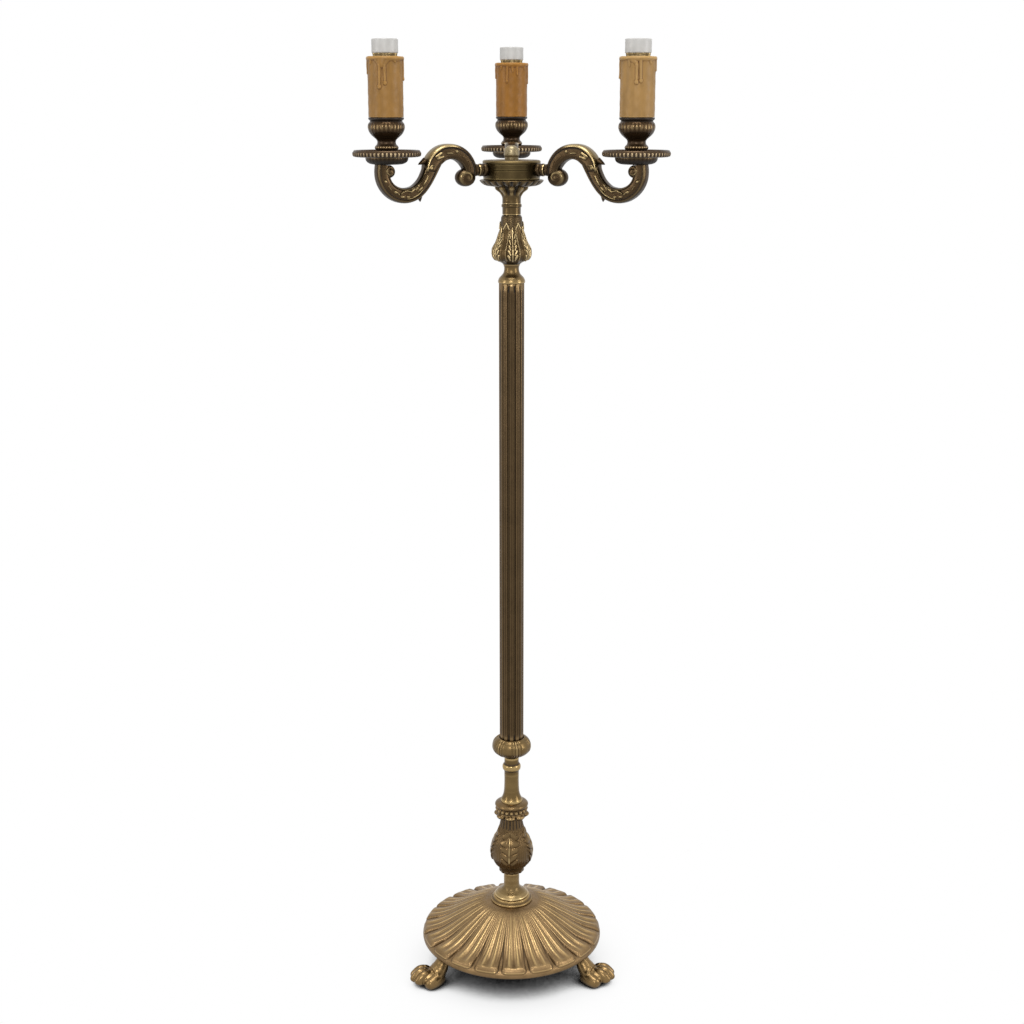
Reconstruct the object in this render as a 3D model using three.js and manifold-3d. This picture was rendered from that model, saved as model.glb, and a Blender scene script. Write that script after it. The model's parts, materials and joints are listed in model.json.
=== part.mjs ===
// Floor lamp with three candle lights on scrolled arms, in cast and turned brass. Millimetres, +Z up.
// Every piece of the column is threaded over one hollow centre rod and clamped between the base nut and the finial.

import * as THREE from 'three';
import { mergeVertices } from 'three/addons/utils/BufferGeometryUtils.js';
import Module from 'manifold-3d';

const wasm = await Module();
wasm.setup();

// Clearances between pieces
const seatGap = 0.3;
const threadGap = 0.5;
const spigotGap = 0.4;

// Centre rod and its nuts
const rodRadius = 5;
const rodWall = 1.5;
const rodTailLength = 12;
const rodTopEngagement = 12;
const baseNutWidth = 17;
const baseNutHeight = 8;
const washerRadius = 15;
const washerThickness = 2.4;
const hubNutWidth = 17;
const hubNutHeight = 6;

// Cast base: a shallow gadrooned cone on three paw feet
const footHeight = 48;
const baseRadius = 150;
const baseRise = 64;
const baseWall = 4;
const rimThickness = 11;
const rimWidth = 5;
const coneFootHeight = 13;
const gadroonCount = 20;
const gadroonLip = 8;
const collarRadius = 34.7;
const collarHeight = 8.7;
const baseTurn = THREE.MathUtils.degToRad(1.2);

// Paw feet and their screws
const footOverhang = 8;
const pawWidth = 44;
const pawHeight = 30;
const toeCount = 4;
const toeLength = 13;
const legWidth = 18;
const lugInset = 42;
const lugThickness = 5;
const lugWidth = 16;
const screwRadius = 2.2;
const screwHeadRadius = 4.6;
const screwHeadHeight = 2.8;
const screwLength = 15;

// Lower stem, from the base up
const stemFootRadius = 28.3;
const stemFootHeight = 41.7;
const lowerNeckRadius = 12.9;
const pearRadius = 36;
const pearHeight = 98.7;
const pearTopRadius = 17.8;
const petalRadius = 28.5;
const petalHeight = 29.7;
const spindleRadius = 11.8;
const spindleHeight = 77.7;
const spindleBellRadius = 18;
const spindleRingRadius = 15;
const knopRadius = 32;
const knopHeight = 35;
const knopLobes = 6;
const tubeRecess = 4;

// Fluted tube and the cap on it
const tubeRadius = 19.3;
const tubeWall = 2.8;
const tubeLength = 745;
const fluteCount = 12;
const fluteDepth = 1.1;
const capRadius = 20.6;
const capHeight = 28.7;
const capSpigot = 8;

// Upper stem
const acanthusRadius = 29.2;
const acanthusHeight = 73.4;
const acanthusTopRadius = 16;
const upperNeckRadius = 14.05;
const upperNeckHeight = 17;
const upperRingRadius = 15.3;
const calyxHeight = 34.4;
const calyxLeafRadius = 24.8;
const flangeRadius = 48.2;
const flangeThickness = 8.5;
const flangeLobes = 24;

// Hub
const hubRadius = 42.5;
const hubHeight = 23.3;
const hubWall = 3;
const lidThickness = 4.7;
const lidOverhang = 0.9;
const lidSpigot = 1.6;
const finialRadius = 11.4;
const finialHeight = 21.2;
const terminalBlockLength = 30;
const terminalBlockHeight = 11;
const terminalBlockDepth = 12;

// Scrolled arms
const armCount = 3;
const armReach = 206;
const armAxisAboveFloor = 11.6;
const armHalfWidth = 11.2;
const armFlatness = 0.9;
const spurRadius = 5.5;
const spurLength = 15;
const spurTilt = THREE.MathUtils.degToRad(12);
const armRise = 10;
const upperArchRadius = 31.2;
const lowerArchRadius = 29.7;
const archDrop = 5.2;
const armLeg = 72.8;
const studRadius = 4;
const wireBore = 2.6;
const ferruleRadius = 10.3;
const ferruleLength = 15.2;
const armNutWidth = 12;
const armNutHeight = 4.6;

// Candle lights
const bowlRadius = 30.2;
const bowlHeight = 10;
const bowlWall = 2.6;
const panRadius = 48.8;
const panFloor = 2.6;
const panRimHeight = 9.8;
const cupRadius = 26.3;
const cupHeight = 52;
const cupWall = 3;
const cupWaist = 13.2;
const sleeveRadius = 25;
const sleeveHeight = 82;
const sleeveWall = 2.1;
const waxRoll = 2.3;
const capOpeningGap = 1.9;
const holderRadius = 16.2;
const holderHeight = 48;
const holderWall = 1.6;
const holderFloor = 20;
const holderCapRadius = 18.8;
const holderCapHeight = 19.5;
const shellRadius = 13.5;
const shellWall = 0.6;
const shellHeight = 44;
const nippleRadius = 5;
const nippleWall = 1.5;
const nippleEngagement = 9;

// Sides of the round pieces
const fineSides = 24;
const mediumSides = 16;
const smallSides = 12;

// Materials
const agedBrass = { color: 0x8a7048, roughness: 0.42, metalness: 1 };
const darkBrass = { color: 0x4f3f28, roughness: 0.5, metalness: 1 };
const paleBrass = { color: 0x7d7450, roughness: 0.4, metalness: 1 };
const steel = { color: 0x8d8f92, roughness: 0.45, metalness: 1 };
const wax = { color: 0xa57f4a, roughness: 0.55, metalness: 0 };
const white = { color: 0xd9d6d0, roughness: 0.5, metalness: 0 };
const phenolic = { color: 0x2e2418, roughness: 0.5, metalness: 0 };

// Geometry helpers

// Turns the faces outwards, whichever way the points ran.
function outward(geometry) {
  const body = mergeVertices(stripped(geometry), 1e-4);
  const p = body.attributes.position;
  const index = body.index.array;
  const a = new THREE.Vector3();
  const b = new THREE.Vector3();
  const c = new THREE.Vector3();
  let volume = 0;
  for (let i = 0; i < index.length; i += 3) {
    a.fromBufferAttribute(p, index[i]);
    b.fromBufferAttribute(p, index[i + 1]);
    c.fromBufferAttribute(p, index[i + 2]);
    volume += a.dot(b.cross(c));
  }
  if (volume < 0) {
    for (let i = 0; i < index.length; i += 3) {
      [index[i], index[i + 1]] = [index[i + 1], index[i]];
    }
  }
  return body;
}

function stripped(geometry) {
  const bare = geometry.clone();
  bare.deleteAttribute('normal');
  bare.deleteAttribute('uv');
  return bare;
}

function toSolid(geometry) {
  const body = outward(geometry);
  return new wasm.Manifold(new wasm.Mesh({
    numProp: 3,
    vertProperties: new Float32Array(body.attributes.position.array),
    triVerts: new Uint32Array(body.index.array),
  }));
}

function toGeometry(solid) {
  const mesh = solid.getMesh();
  const geometry = new THREE.BufferGeometry();
  geometry.setAttribute('position', new THREE.BufferAttribute(mesh.vertProperties, 3));
  geometry.setIndex(new THREE.BufferAttribute(mesh.triVerts, 1));
  return geometry;
}

function joined(first, ...others) {
  return others.reduce((sum, geometry) => sum.add(toSolid(geometry)), toSolid(first));
}

// A body of revolution about Z from [radius, height] points that close on the axis or on themselves.
function turned(profile, sides = mediumSides) {
  const points = profile.map(([r, z]) => new THREE.Vector2(r, z));
  return outward(new THREE.LatheGeometry(points, sides).rotateX(Math.PI / 2));
}

// An outer profile, bottom to top, closed down a straight bore.
function bored(outer, bore) {
  const bottom = outer[0][1];
  const top = outer[outer.length - 1][1];
  return [[bore, bottom], ...outer, [bore, top], [bore, bottom]];
}

// A smooth profile through a few [radius, height] points.
function smooth(points, steps) {
  const curve = new THREE.SplineCurve(points.map(([r, z]) => new THREE.Vector2(r, z)));
  return curve.getPoints(steps).map((p) => [p.x, p.y]);
}

// Moves each point of a turned body out or in by shape(angle, radius, height).
function ornamented(geometry, shape) {
  const p = geometry.attributes.position;
  for (let i = 0; i < p.count; i += 1) {
    const radius = Math.hypot(p.getX(i), p.getY(i));
    if (radius < 1e-6) continue;
    const angle = Math.atan2(p.getY(i), p.getX(i));
    const [dr, dz] = shape(angle, radius, p.getZ(i));
    const scale = (radius + dr) / radius;
    p.setXYZ(i, p.getX(i) * scale, p.getY(i) * scale, p.getZ(i) + dz);
  }
  return geometry;
}

// A closed body through rings of equal counts of points, each end closed by a fan.
function skin(rings) {
  const count = rings[0].length;
  const positions = rings.flat().flatMap((v) => [v.x, v.y, v.z]);
  const index = [];
  for (let i = 0; i < rings.length - 1; i += 1) {
    for (let j = 0; j < count; j += 1) {
      const k = (j + 1) % count;
      index.push(i * count + j, i * count + k, (i + 1) * count + k);
      index.push(i * count + j, (i + 1) * count + k, (i + 1) * count + j);
    }
  }
  for (const [ring, flip] of [[0, true], [rings.length - 1, false]]) {
    const centre = new THREE.Vector3();
    rings[ring].forEach((v) => centre.addScaledVector(v, 1 / count));
    const hub = positions.length / 3;
    positions.push(centre.x, centre.y, centre.z);
    for (let j = 0; j < count; j += 1) {
      const a = ring * count + j;
      const b = ring * count + ((j + 1) % count);
      index.push(...(flip ? [hub, b, a] : [hub, a, b]));
    }
  }
  const geometry = new THREE.BufferGeometry();
  geometry.setAttribute('position', new THREE.Float32BufferAttribute(positions, 3));
  geometry.setIndex(index);
  return outward(geometry);
}

// A tube in the XZ plane along [x, z, halfWidth] stations; its depth in Y is halfWidth times flatness.
function swept(stations, sides, flatness = 1) {
  const rings = stations.map(([x, z, half], i) => {
    const before = stations[Math.max(i - 1, 0)];
    const after = stations[Math.min(i + 1, stations.length - 1)];
    const along = new THREE.Vector2(after[0] - before[0], after[1] - before[1]).normalize();
    return Array.from({ length: sides }, (_, j) => {
      const angle = (2 * Math.PI * j) / sides;
      const across = half * Math.cos(angle);
      return new THREE.Vector3(x - along.y * across, half * flatness * Math.sin(angle), z + along.x * across);
    });
  });
  return skin(rings);
}

function ball(x, y, z, rx, ry, rz, sides = 12, rows = 8) {
  return new THREE.SphereGeometry(1, sides, rows).scale(rx, ry, rz).translate(x, y, z);
}

function block(x0, x1, y0, y1, z0, z1) {
  return new THREE.BoxGeometry(x1 - x0, y1 - y0, z1 - z0)
    .translate((x0 + x1) / 2, (y0 + y1) / 2, (z0 + z1) / 2);
}

// A hexagon nut standing on z = 0, with a round bore.
function hexNut(width, height, bore) {
  const shape = new THREE.Shape();
  for (let i = 0; i < 6; i += 1) {
    const angle = (i * Math.PI) / 3;
    const corner = width / 2 / Math.cos(Math.PI / 6);
    const point = [corner * Math.cos(angle), corner * Math.sin(angle)];
    if (i === 0) shape.moveTo(...point);
    else shape.lineTo(...point);
  }
  shape.closePath();
  shape.holes.push(new THREE.Path().absarc(0, 0, bore, 0, 2 * Math.PI, true));
  return new THREE.ExtrudeGeometry(shape, { depth: height, bevelEnabled: false, curveSegments: 8 });
}

const lamp = new THREE.Group();

function place(name, geometry, finish, parent = lamp) {
  const material = new THREE.MeshStandardMaterial(finish);
  const mesh = new THREE.Mesh(outward(geometry), material);
  mesh.name = name;
  parent.add(mesh);
  return mesh;
}

// Heights of the seats up the column, each piece resting on the one below it
const rodBore = rodRadius + threadGap;
const collarSeat = footHeight + baseRise;
const stemFootSeat = collarSeat + seatGap + collarHeight;
const pearSeat = stemFootSeat + seatGap + stemFootHeight;
const petalSeat = pearSeat + seatGap + pearHeight;
const spindleSeat = petalSeat + seatGap + petalHeight;
const knopSeat = spindleSeat + seatGap + spindleHeight;
const tubeSeat = knopSeat + seatGap + knopHeight - tubeRecess;
const capSeat = tubeSeat + seatGap + tubeLength;
const acanthusSeat = capSeat + seatGap + capHeight;
const neckSeat = acanthusSeat + seatGap + acanthusHeight;
const calyxSeat = neckSeat + seatGap + upperNeckHeight;
const hubSeat = calyxSeat + seatGap + calyxHeight;
const lidSeat = hubSeat + seatGap + hubHeight;
const finialSeat = lidSeat + seatGap + lidThickness;

// Base plate, turned by the small angle at which it was fixed

const baseGroup = new THREE.Group();
baseGroup.rotation.z = baseTurn;
lamp.add(baseGroup);

const coneFoot = baseRadius - rimWidth;
const footReach = baseRadius + footOverhang;
const lugReach = baseRadius - lugInset;

// Height of the cone above its underside: an ogee, steepest halfway and flatter at the rim and at the collar.
function coneHeight(radius) {
  const t = (coneFoot - radius) / (coneFoot - collarRadius);
  const ogee = t / 2 + (1 - Math.cos(Math.PI * t)) / 4;
  return coneFootHeight + (baseRise - coneFootHeight) * ogee;
}

// Each gadroon is a broad round tongue that ends in a raised lip above the rim.
function gadroon(angle, radius, height) {
  const inside = radius > collarRadius + 2 && radius < coneFoot - 1;
  if (!inside || height < rimThickness) return [0, 0];
  const swell = (0.5 + 0.5 * Math.cos(gadroonCount * (angle + Math.PI / 2))) ** 0.6;
  const run = (radius - collarRadius) / (coneFoot - collarRadius);
  return [0, gadroonLip * run ** 3 * (swell - 0.35)];
}

function basePlate() {
  const steps = [0.985, 0.9, 0.75, 0.55, 0.33, 0.12];
  const cone = steps.map((t) => collarRadius + 2 + t * (coneFoot - collarRadius - 3.5));
  const outer = [
    [0, 0],
    [baseRadius - 1.5, 0],
    [baseRadius, rimThickness * 0.45],
    [baseRadius - 1.5, rimThickness],
    [coneFoot, rimThickness + 1.5],
    ...cone.map((r) => [r, coneHeight(r)]),
    [collarRadius + 0.8, baseRise],
    [0, baseRise],
  ];
  const body = toSolid(ornamented(turned(outer, gadroonCount * 3), gadroon));
  const cavityRadius = baseRadius - rimWidth - 3;
  const cavitySteps = [1, 0.7, 0.4, 0.1];
  const cavity = [
    [0, -1],
    [cavityRadius, -1],
    [cavityRadius, rimThickness * 0.4],
    ...cavitySteps.map((t) => {
      const r = collarRadius + t * (cavityRadius - 3 - collarRadius);
      return [r, coneHeight(r) - baseWall - gadroonLip * 0.4 * t ** 3];
    }),
    [collarRadius * 0.8, baseRise - baseWall],
    [0, baseRise - baseWall],
  ];
  let solid = body.subtract(toSolid(turned(cavity, fineSides)));
  for (let i = 0; i < 3; i += 1) {
    const angle = footAngle(i);
    const x = lugReach * Math.cos(angle);
    const y = lugReach * Math.sin(angle);
    const boss = turned([[0, 0], [lugWidth * 0.45, 0], [lugWidth * 0.45, baseRise], [0, baseRise]], 8);
    const bossInCasting = toSolid(boss.translate(x, y, 0)).intersect(body);
    const hole = turned([
      [0, -1], [screwRadius + seatGap, -1], [screwRadius + seatGap, screwLength + 1], [0, screwLength + 1],
    ], 8);
    solid = solid.add(bossInCasting).subtract(toSolid(hole.translate(x, y, 0)));
  }
  const throat = turned([[0, baseRise / 2], [rodBore, baseRise / 2], [rodBore, baseRise + 1], [0, baseRise + 1]], smallSides);
  return toGeometry(solid.subtract(toSolid(throat))).translate(0, 0, footHeight);
}

function footAngle(i) {
  return Math.PI / 2 + (i * 2 * Math.PI) / 3;
}

place('base_plate', basePlate(), agedBrass, baseGroup);

// Paw foot: a short leg under the rim that ends in a paw of four toes, flat on the floor

function pawFoot() {
  const half = pawWidth / 2;
  const top = footHeight - seatGap;
  const leg = swept([
    [lugReach + 12, top + 4, legWidth / 2],
    [lugReach + 17, top - 4, legWidth / 2],
    [lugReach + 25, top - 13, legWidth / 2 - 0.5],
    [footReach - 17, pawHeight * 0.75, legWidth / 2],
    [footReach, pawHeight * 0.45, legWidth / 2 + 2],
  ], 8, 1.05);
  const palm = ball(footReach, 0, pawHeight * 0.42, 21, half * 0.92, pawHeight * 0.58, 8, 6);
  let solid = joined(leg, palm);
  for (let i = 0; i < toeCount; i += 1) {
    const side = (i - (toeCount - 1) / 2) / ((toeCount - 1) / 2);
    const toe = ball(
      footReach + 15 - 4.5 * side * side, side * half * 0.74, pawHeight * 0.34,
      toeLength, half * 0.3, pawHeight * 0.46, 6, 5,
    );
    solid = solid.add(toSolid(toe));
  }
  const lug = new THREE.Shape();
  lug.moveTo(lugReach + 20, lugWidth / 2);
  lug.lineTo(lugReach, lugWidth / 2);
  lug.absarc(lugReach, 0, lugWidth / 2, Math.PI / 2, (3 * Math.PI) / 2, false);
  lug.lineTo(lugReach + 20, -lugWidth / 2);
  lug.closePath();
  const plate = new THREE.ExtrudeGeometry(lug, { depth: lugThickness, bevelEnabled: false, curveSegments: 8 });
  solid = solid.add(toSolid(plate.translate(0, 0, top - lugThickness)));
  const reach = footReach + pawWidth;
  solid = solid.subtract(toSolid(block(0, reach, -pawWidth, pawWidth, -pawHeight, 0)));
  solid = solid.subtract(toSolid(block(0, reach, -pawWidth, pawWidth, top, top + pawHeight)));
  const hole = turned([[0, 0], [screwRadius + seatGap, 0], [screwRadius + seatGap, footHeight], [0, footHeight]], 8);
  return toGeometry(solid.subtract(toSolid(hole.translate(lugReach, 0, 0))));
}

function footScrew() {
  const head = footHeight - 2 * seatGap - lugThickness;
  const crown = screwHeadHeight * 0.4;
  return turned([
    [0, head - screwHeadHeight],
    [screwHeadRadius * 0.7, head - screwHeadHeight],
    [screwHeadRadius, head - screwHeadHeight + crown],
    [screwHeadRadius, head],
    [screwRadius, head],
    [screwRadius, head + screwLength],
    [0, head + screwLength],
  ], 8).translate(lugReach, 0, 0);
}

const sides = ['back', 'left', 'right'];
sides.forEach((side, i) => {
  const corner = new THREE.Group();
  corner.rotation.z = footAngle(i);
  baseGroup.add(corner);
  place(`paw_foot_${side}`, pawFoot(), agedBrass, corner);
  place(`foot_screw_${side}`, footScrew(), steel, corner);
});

// Centre rod, washer and nuts

const washerTop = collarSeat - baseWall - seatGap;
const baseNutTop = washerTop - washerThickness - seatGap;
const rodBottom = baseNutTop - baseNutHeight - rodTailLength;
const rodTop = finialSeat + rodTopEngagement;

function tube(radius, wall, bottom, top, count) {
  return turned(bored([[radius, bottom], [radius, top]], radius - wall), count);
}

place('centre_rod', tube(rodRadius, rodWall, rodBottom, rodTop, smallSides), steel);
place('base_washer', tube(washerRadius, washerRadius - rodBore, washerTop - washerThickness, washerTop, smallSides), steel);
place('base_nut', hexNut(baseNutWidth, baseNutHeight, rodBore).translate(0, 0, baseNutTop - baseNutHeight), steel);

// Lower stem

function seated(outer, seat, count = mediumSides) {
  return turned(bored(outer, rodBore), count).translate(0, 0, seat + seatGap);
}

place('base_collar', seated([
  [collarRadius - 1.5, 0],
  [collarRadius, 2],
  [collarRadius - 0.5, 4.5],
  [collarRadius - 3.5, collarHeight - 1],
  [stemFootRadius + 1, collarHeight],
], collarSeat, fineSides), agedBrass);

place('stem_foot', seated([
  [stemFootRadius, 0],
  [stemFootRadius, 2.4],
  ...smooth([
    [stemFootRadius - 2.5, 4],
    [lowerNeckRadius + 7.5, 9.5],
    [lowerNeckRadius + 2, 18],
    [lowerNeckRadius, 27],
    [lowerNeckRadius, stemFootHeight],
  ], 5),
], stemFootSeat, fineSides), agedBrass);

// Broad upright leaves that fade out towards both ends of a baluster
function leafRibs(count, depth, height) {
  return (angle, radius, z) => {
    if (radius < rodBore * 1.5) return [0, 0];
    const fade = Math.sin(Math.PI * Math.min(Math.max(z / height, 0), 1));
    return [depth * fade * Math.cos(count * (angle + Math.PI / 2)), 0];
  };
}

const pear = turned(bored([
  [lowerNeckRadius + 0.6, 0],
  [lowerNeckRadius + 6, 2.5],
  ...smooth([
    [lowerNeckRadius + 9.5, 6.5],
    [pearRadius * 0.83, pearHeight * 0.175],
    [pearRadius * 0.965, pearHeight * 0.27],
    [pearRadius, pearHeight * 0.38],
    [pearRadius * 0.94, pearHeight * 0.52],
    [pearRadius * 0.8, pearHeight * 0.64],
    [pearTopRadius + 3.4, pearHeight * 0.78],
    [pearTopRadius + 0.8, pearHeight * 0.9],
    [pearTopRadius, pearHeight],
  ], 8),
], rodBore), 16);
place('pear_baluster', ornamented(pear, leafRibs(8, 0.8, pearHeight)).translate(0, 0, pearSeat + seatGap), agedBrass);

// Skirt of eight petals under a row of beads and a rounded disc
const petalCollar = turned(bored([
  [pearTopRadius + 0.5, 0],
  [petalRadius - 4, 2],
  [petalRadius, 6.5],
  [petalRadius - 3, 9.5],
  [petalRadius - 2, 13.5],
  [petalRadius - 3.2, 19],
  [petalRadius - 2.2, 23.5],
  [petalRadius - 4, 27.5],
  [spindleBellRadius + 1.5, petalHeight],
], rodBore), 24);
const petals = ornamented(petalCollar, (angle, radius, z) => {
  const skirt = radius > pearTopRadius && z > 0.5 && z < 8;
  return skirt ? [1.6 * Math.cos(8 * (angle + Math.PI / 2)), 0] : [0, 0];
});
place('petal_collar', petals.translate(0, 0, petalSeat + seatGap), agedBrass);

const spindleRingHeight = spindleHeight - 18;
place('spindle', seated([
  [spindleBellRadius, 0],
  [spindleBellRadius - 0.6, 2],
  ...smooth([
    [spindleRadius + 4, 6],
    [spindleRadius + 1.1, 13],
    [spindleRadius + 0.2, 26],
    [spindleRadius, spindleRingHeight - 18],
    [spindleRadius + 0.9, spindleRingHeight - 7],
  ], 4),
  [spindleRingRadius - 0.8, spindleRingHeight - 4.5],
  [spindleRingRadius, spindleRingHeight],
  [spindleRingRadius - 0.8, spindleRingHeight + 3],
  [spindleRadius - 0.4, spindleRingHeight + 6],
  [spindleRadius - 0.4, spindleHeight],
], spindleSeat), agedBrass);

// Melon knop: six broad lobes parted by narrow bands; the fluted tube stands in its recess
const recessRadius = tubeRadius + spigotGap;
const knopCurve = [-0.86, -0.55, -0.1, 0.35, 0.68].map((t) => {
  const half = knopHeight * 0.586;
  return [knopRadius * Math.sqrt(1 - t * t), knopHeight * 0.55 + half * t];
});
const knop = turned([
  [rodBore, 0],
  [spindleRadius, 0],
  ...knopCurve,
  [recessRadius + 1.6, knopHeight],
  [recessRadius, knopHeight],
  [recessRadius, knopHeight - tubeRecess],
  [rodBore, knopHeight - tubeRecess],
  [rodBore, 0],
], knopLobes * 3);
const melon = ornamented(knop, (angle, radius) => {
  if (radius < recessRadius + 1) return [0, 0];
  return [-0.9 * (0.5 - 0.5 * Math.cos(knopLobes * (angle + THREE.MathUtils.degToRad(98)))) ** 6, 0];
});
place('melon_knop', melon.translate(0, 0, knopSeat + seatGap), agedBrass);

const tubeBore = tubeRadius - tubeWall;
const fluted = ornamented(
  turned(bored([[tubeRadius, 0], [tubeRadius, tubeLength]], tubeBore), fluteCount * 4),
  (angle, radius) => {
    if (radius < tubeBore + 0.5) return [0, 0];
    const wave = Math.cos(fluteCount * angle);
    return [wave < 0.5 ? -fluteDepth * (0.5 - wave) * 0.667 : 0, 0];
  },
);
place('fluted_tube', fluted.translate(0, 0, tubeSeat + seatGap), darkBrass);

const capNeck = spindleRadius;
place('tube_cap', turned([
  [rodBore, -capSpigot],
  [tubeBore - spigotGap, -capSpigot],
  [tubeBore - spigotGap, 0],
  [capRadius, 0],
  [capRadius, 4],
  ...smooth([
    [capRadius - 0.8, 6],
    [capRadius - 3.5, 9.3],
    [capNeck + 2.4, 12.5],
    [capNeck + 0.5, 16],
    [capNeck - 0.1, 21],
    [capNeck + 0.7, 25.5],
    [capNeck + 2, capHeight],
  ], 6),
  [rodBore, capHeight],
  [rodBore, -capSpigot],
]).translate(0, 0, capSeat + seatGap), agedBrass);

// Upper stem

const acanthus = turned(bored([
  [capNeck + 2.6, 0],
  ...smooth([
    [acanthusRadius * 0.66, 3.5],
    [acanthusRadius * 0.93, 9],
    [acanthusRadius, 15.5],
    [acanthusRadius * 0.97, 22],
    [acanthusRadius * 0.82, 31],
    [acanthusTopRadius + 4, 41],
    [acanthusTopRadius + 2.2, 52],
    [acanthusTopRadius + 1.4, 57],
  ], 7),
  [acanthusTopRadius, 60],
  [acanthusTopRadius, acanthusHeight - 3],
  [upperNeckRadius + 0.4, acanthusHeight],
], rodBore), 16);
place('acanthus_baluster', ornamented(acanthus, leafRibs(8, 0.6, acanthusHeight))
  .translate(0, 0, acanthusSeat + seatGap), agedBrass);

place('upper_neck', seated([
  [upperNeckRadius, 0],
  [upperNeckRadius, upperNeckHeight - 6],
  [upperRingRadius, upperNeckHeight - 4.6],
  [upperRingRadius, upperNeckHeight - 2.2],
  [upperNeckRadius, upperNeckHeight - 1],
  [upperNeckRadius, upperNeckHeight],
], neckSeat), agedBrass);

// Calyx: a flared stem of leaves under a flange with a scalloped edge
function leafCalyx() {
  const flangeFoot = calyxHeight - flangeThickness;
  const stem = turned(bored([
    [upperNeckRadius, 0],
    ...smooth([
      [upperNeckRadius, 6],
      [upperNeckRadius + 1, 10],
      [upperNeckRadius + 5.5, 16],
      [calyxLeafRadius, 20.5],
    ], 4),
    [calyxLeafRadius, flangeFoot - 2],
    [calyxLeafRadius + 6, flangeFoot + 1],
    [calyxLeafRadius + 6, calyxHeight - 1],
  ], rodBore), 16);
  const ribs = ornamented(stem, (angle, radius) => {
    const leaf = radius > calyxLeafRadius - 6 ? 1.1 : 0;
    return [leaf * Math.cos(8 * (angle + Math.PI / 2)), 0];
  });
  const edge = new THREE.Shape();
  const points = flangeLobes * 2;
  for (let i = 0; i < points; i += 1) {
    const angle = (2 * Math.PI * i) / points;
    const radius = flangeRadius - 1.8 * (1 - Math.abs(Math.cos((flangeLobes / 2) * angle)));
    const corner = [radius * Math.cos(angle), radius * Math.sin(angle)];
    if (i === 0) edge.moveTo(...corner);
    else edge.lineTo(...corner);
  }
  edge.closePath();
  edge.holes.push(new THREE.Path().absarc(0, 0, rodBore, 0, 2 * Math.PI, true));
  const flange = new THREE.ExtrudeGeometry(edge, {
    depth: flangeThickness, bevelEnabled: false, curveSegments: 8,
  });
  return toGeometry(toSolid(ribs).add(toSolid(flange.translate(0, 0, flangeFoot))))
    .translate(0, 0, calyxSeat + seatGap);
}
place('leaf_calyx', leafCalyx(), darkBrass);

// Hub: an open drum with three arm holes, closed by a lid that the finial clamps

const armAxis = hubSeat + seatGap + hubWall + armAxisAboveFloor;
const armAngles = { back: Math.PI / 2, left: (7 * Math.PI) / 6, right: (11 * Math.PI) / 6 };
const hubInner = hubRadius - hubWall;

function radialPin(radius, from, to, height, count = smallSides) {
  const pin = turned([[0, from], [radius, from], [radius, to], [0, to]], count);
  return pin.rotateY(Math.PI / 2).translate(0, 0, height);
}

function hubBody() {
  const drum = turned([
    [rodBore, 0],
    [hubRadius - 1, 0],
    [hubRadius, 1],
    [hubRadius, hubHeight],
    [hubInner, hubHeight],
    [hubInner, hubWall],
    [rodBore, hubWall],
    [rodBore, 0],
  ], fineSides);
  let solid = toSolid(drum);
  for (const angle of Object.values(armAngles)) {
    const hole = radialPin(studRadius + threadGap, hubInner - 5, hubRadius + 5, hubWall + armAxisAboveFloor, 12);
    solid = solid.subtract(toSolid(hole.rotateZ(angle)));
  }
  return toGeometry(solid).translate(0, 0, hubSeat + seatGap);
}
place('hub_body', hubBody(), paleBrass);

place('hub_lid', turned([
  [rodBore, -lidSpigot],
  [hubInner - spigotGap, -lidSpigot],
  [hubInner - spigotGap, 0],
  [hubRadius + lidOverhang, 0],
  [hubRadius + lidOverhang, lidThickness - 1],
  [hubRadius + lidOverhang - 1, lidThickness],
  [rodBore, lidThickness],
  [rodBore, -lidSpigot],
], fineSides).translate(0, 0, lidSeat + seatGap), paleBrass);

const hubNutSeat = hubSeat + seatGap + hubWall + seatGap;
place('hub_nut', hexNut(hubNutWidth, hubNutHeight, rodBore).translate(0, 0, hubNutSeat), steel);

const finialDome = [0, 0.3, 0.6, 1].map((t) => {
  const angle = (t * Math.PI) / 2;
  return [finialRadius * Math.cos(angle), finialHeight - finialRadius + finialRadius * Math.sin(angle)];
});
place('finial_nut', turned([
  [0, rodTopEngagement + 1],
  [rodBore, rodTopEngagement + 1],
  [rodBore, 0],
  [finialRadius - 1.6, 0],
  [finialRadius - 1.2, 3],
  ...finialDome,
], mediumSides).translate(0, 0, finialSeat + seatGap), paleBrass);

// Terminal block on the hub floor, between the two front arms, with a hole for each lead
function terminalBlock() {
  const face = new THREE.Shape();
  const half = terminalBlockLength / 2;
  face.moveTo(-half, 0);
  face.lineTo(half, 0);
  face.lineTo(half, terminalBlockHeight);
  face.lineTo(-half, terminalBlockHeight);
  face.closePath();
  for (let i = -1; i <= 1; i += 1) {
    const lead = new THREE.Path().absarc((i * terminalBlockLength) / 3, terminalBlockHeight * 0.45, 2, 0, 2 * Math.PI, true);
    face.holes.push(lead);
  }
  return new THREE.ExtrudeGeometry(face, { depth: terminalBlockDepth, bevelEnabled: false, curveSegments: 4 })
    .rotateX(Math.PI / 2)
    .translate(0, -hubInner / 2 + terminalBlockDepth / 2 - 4, hubNutSeat);
}
place('terminal_block', terminalBlock(), white);

// Scrolled arm, drawn in its own plane: X is the distance from the column, Z the height above the arm's axis

const armTop = armRise;
const ferruleStart = hubRadius + seatGap;
const ferruleEnd = ferruleStart + ferruleLength;

const upperSteps = 7;
const lowerSteps = 8;
const lowerArchCentre = armReach - lowerArchRadius + 1.6;

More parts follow.
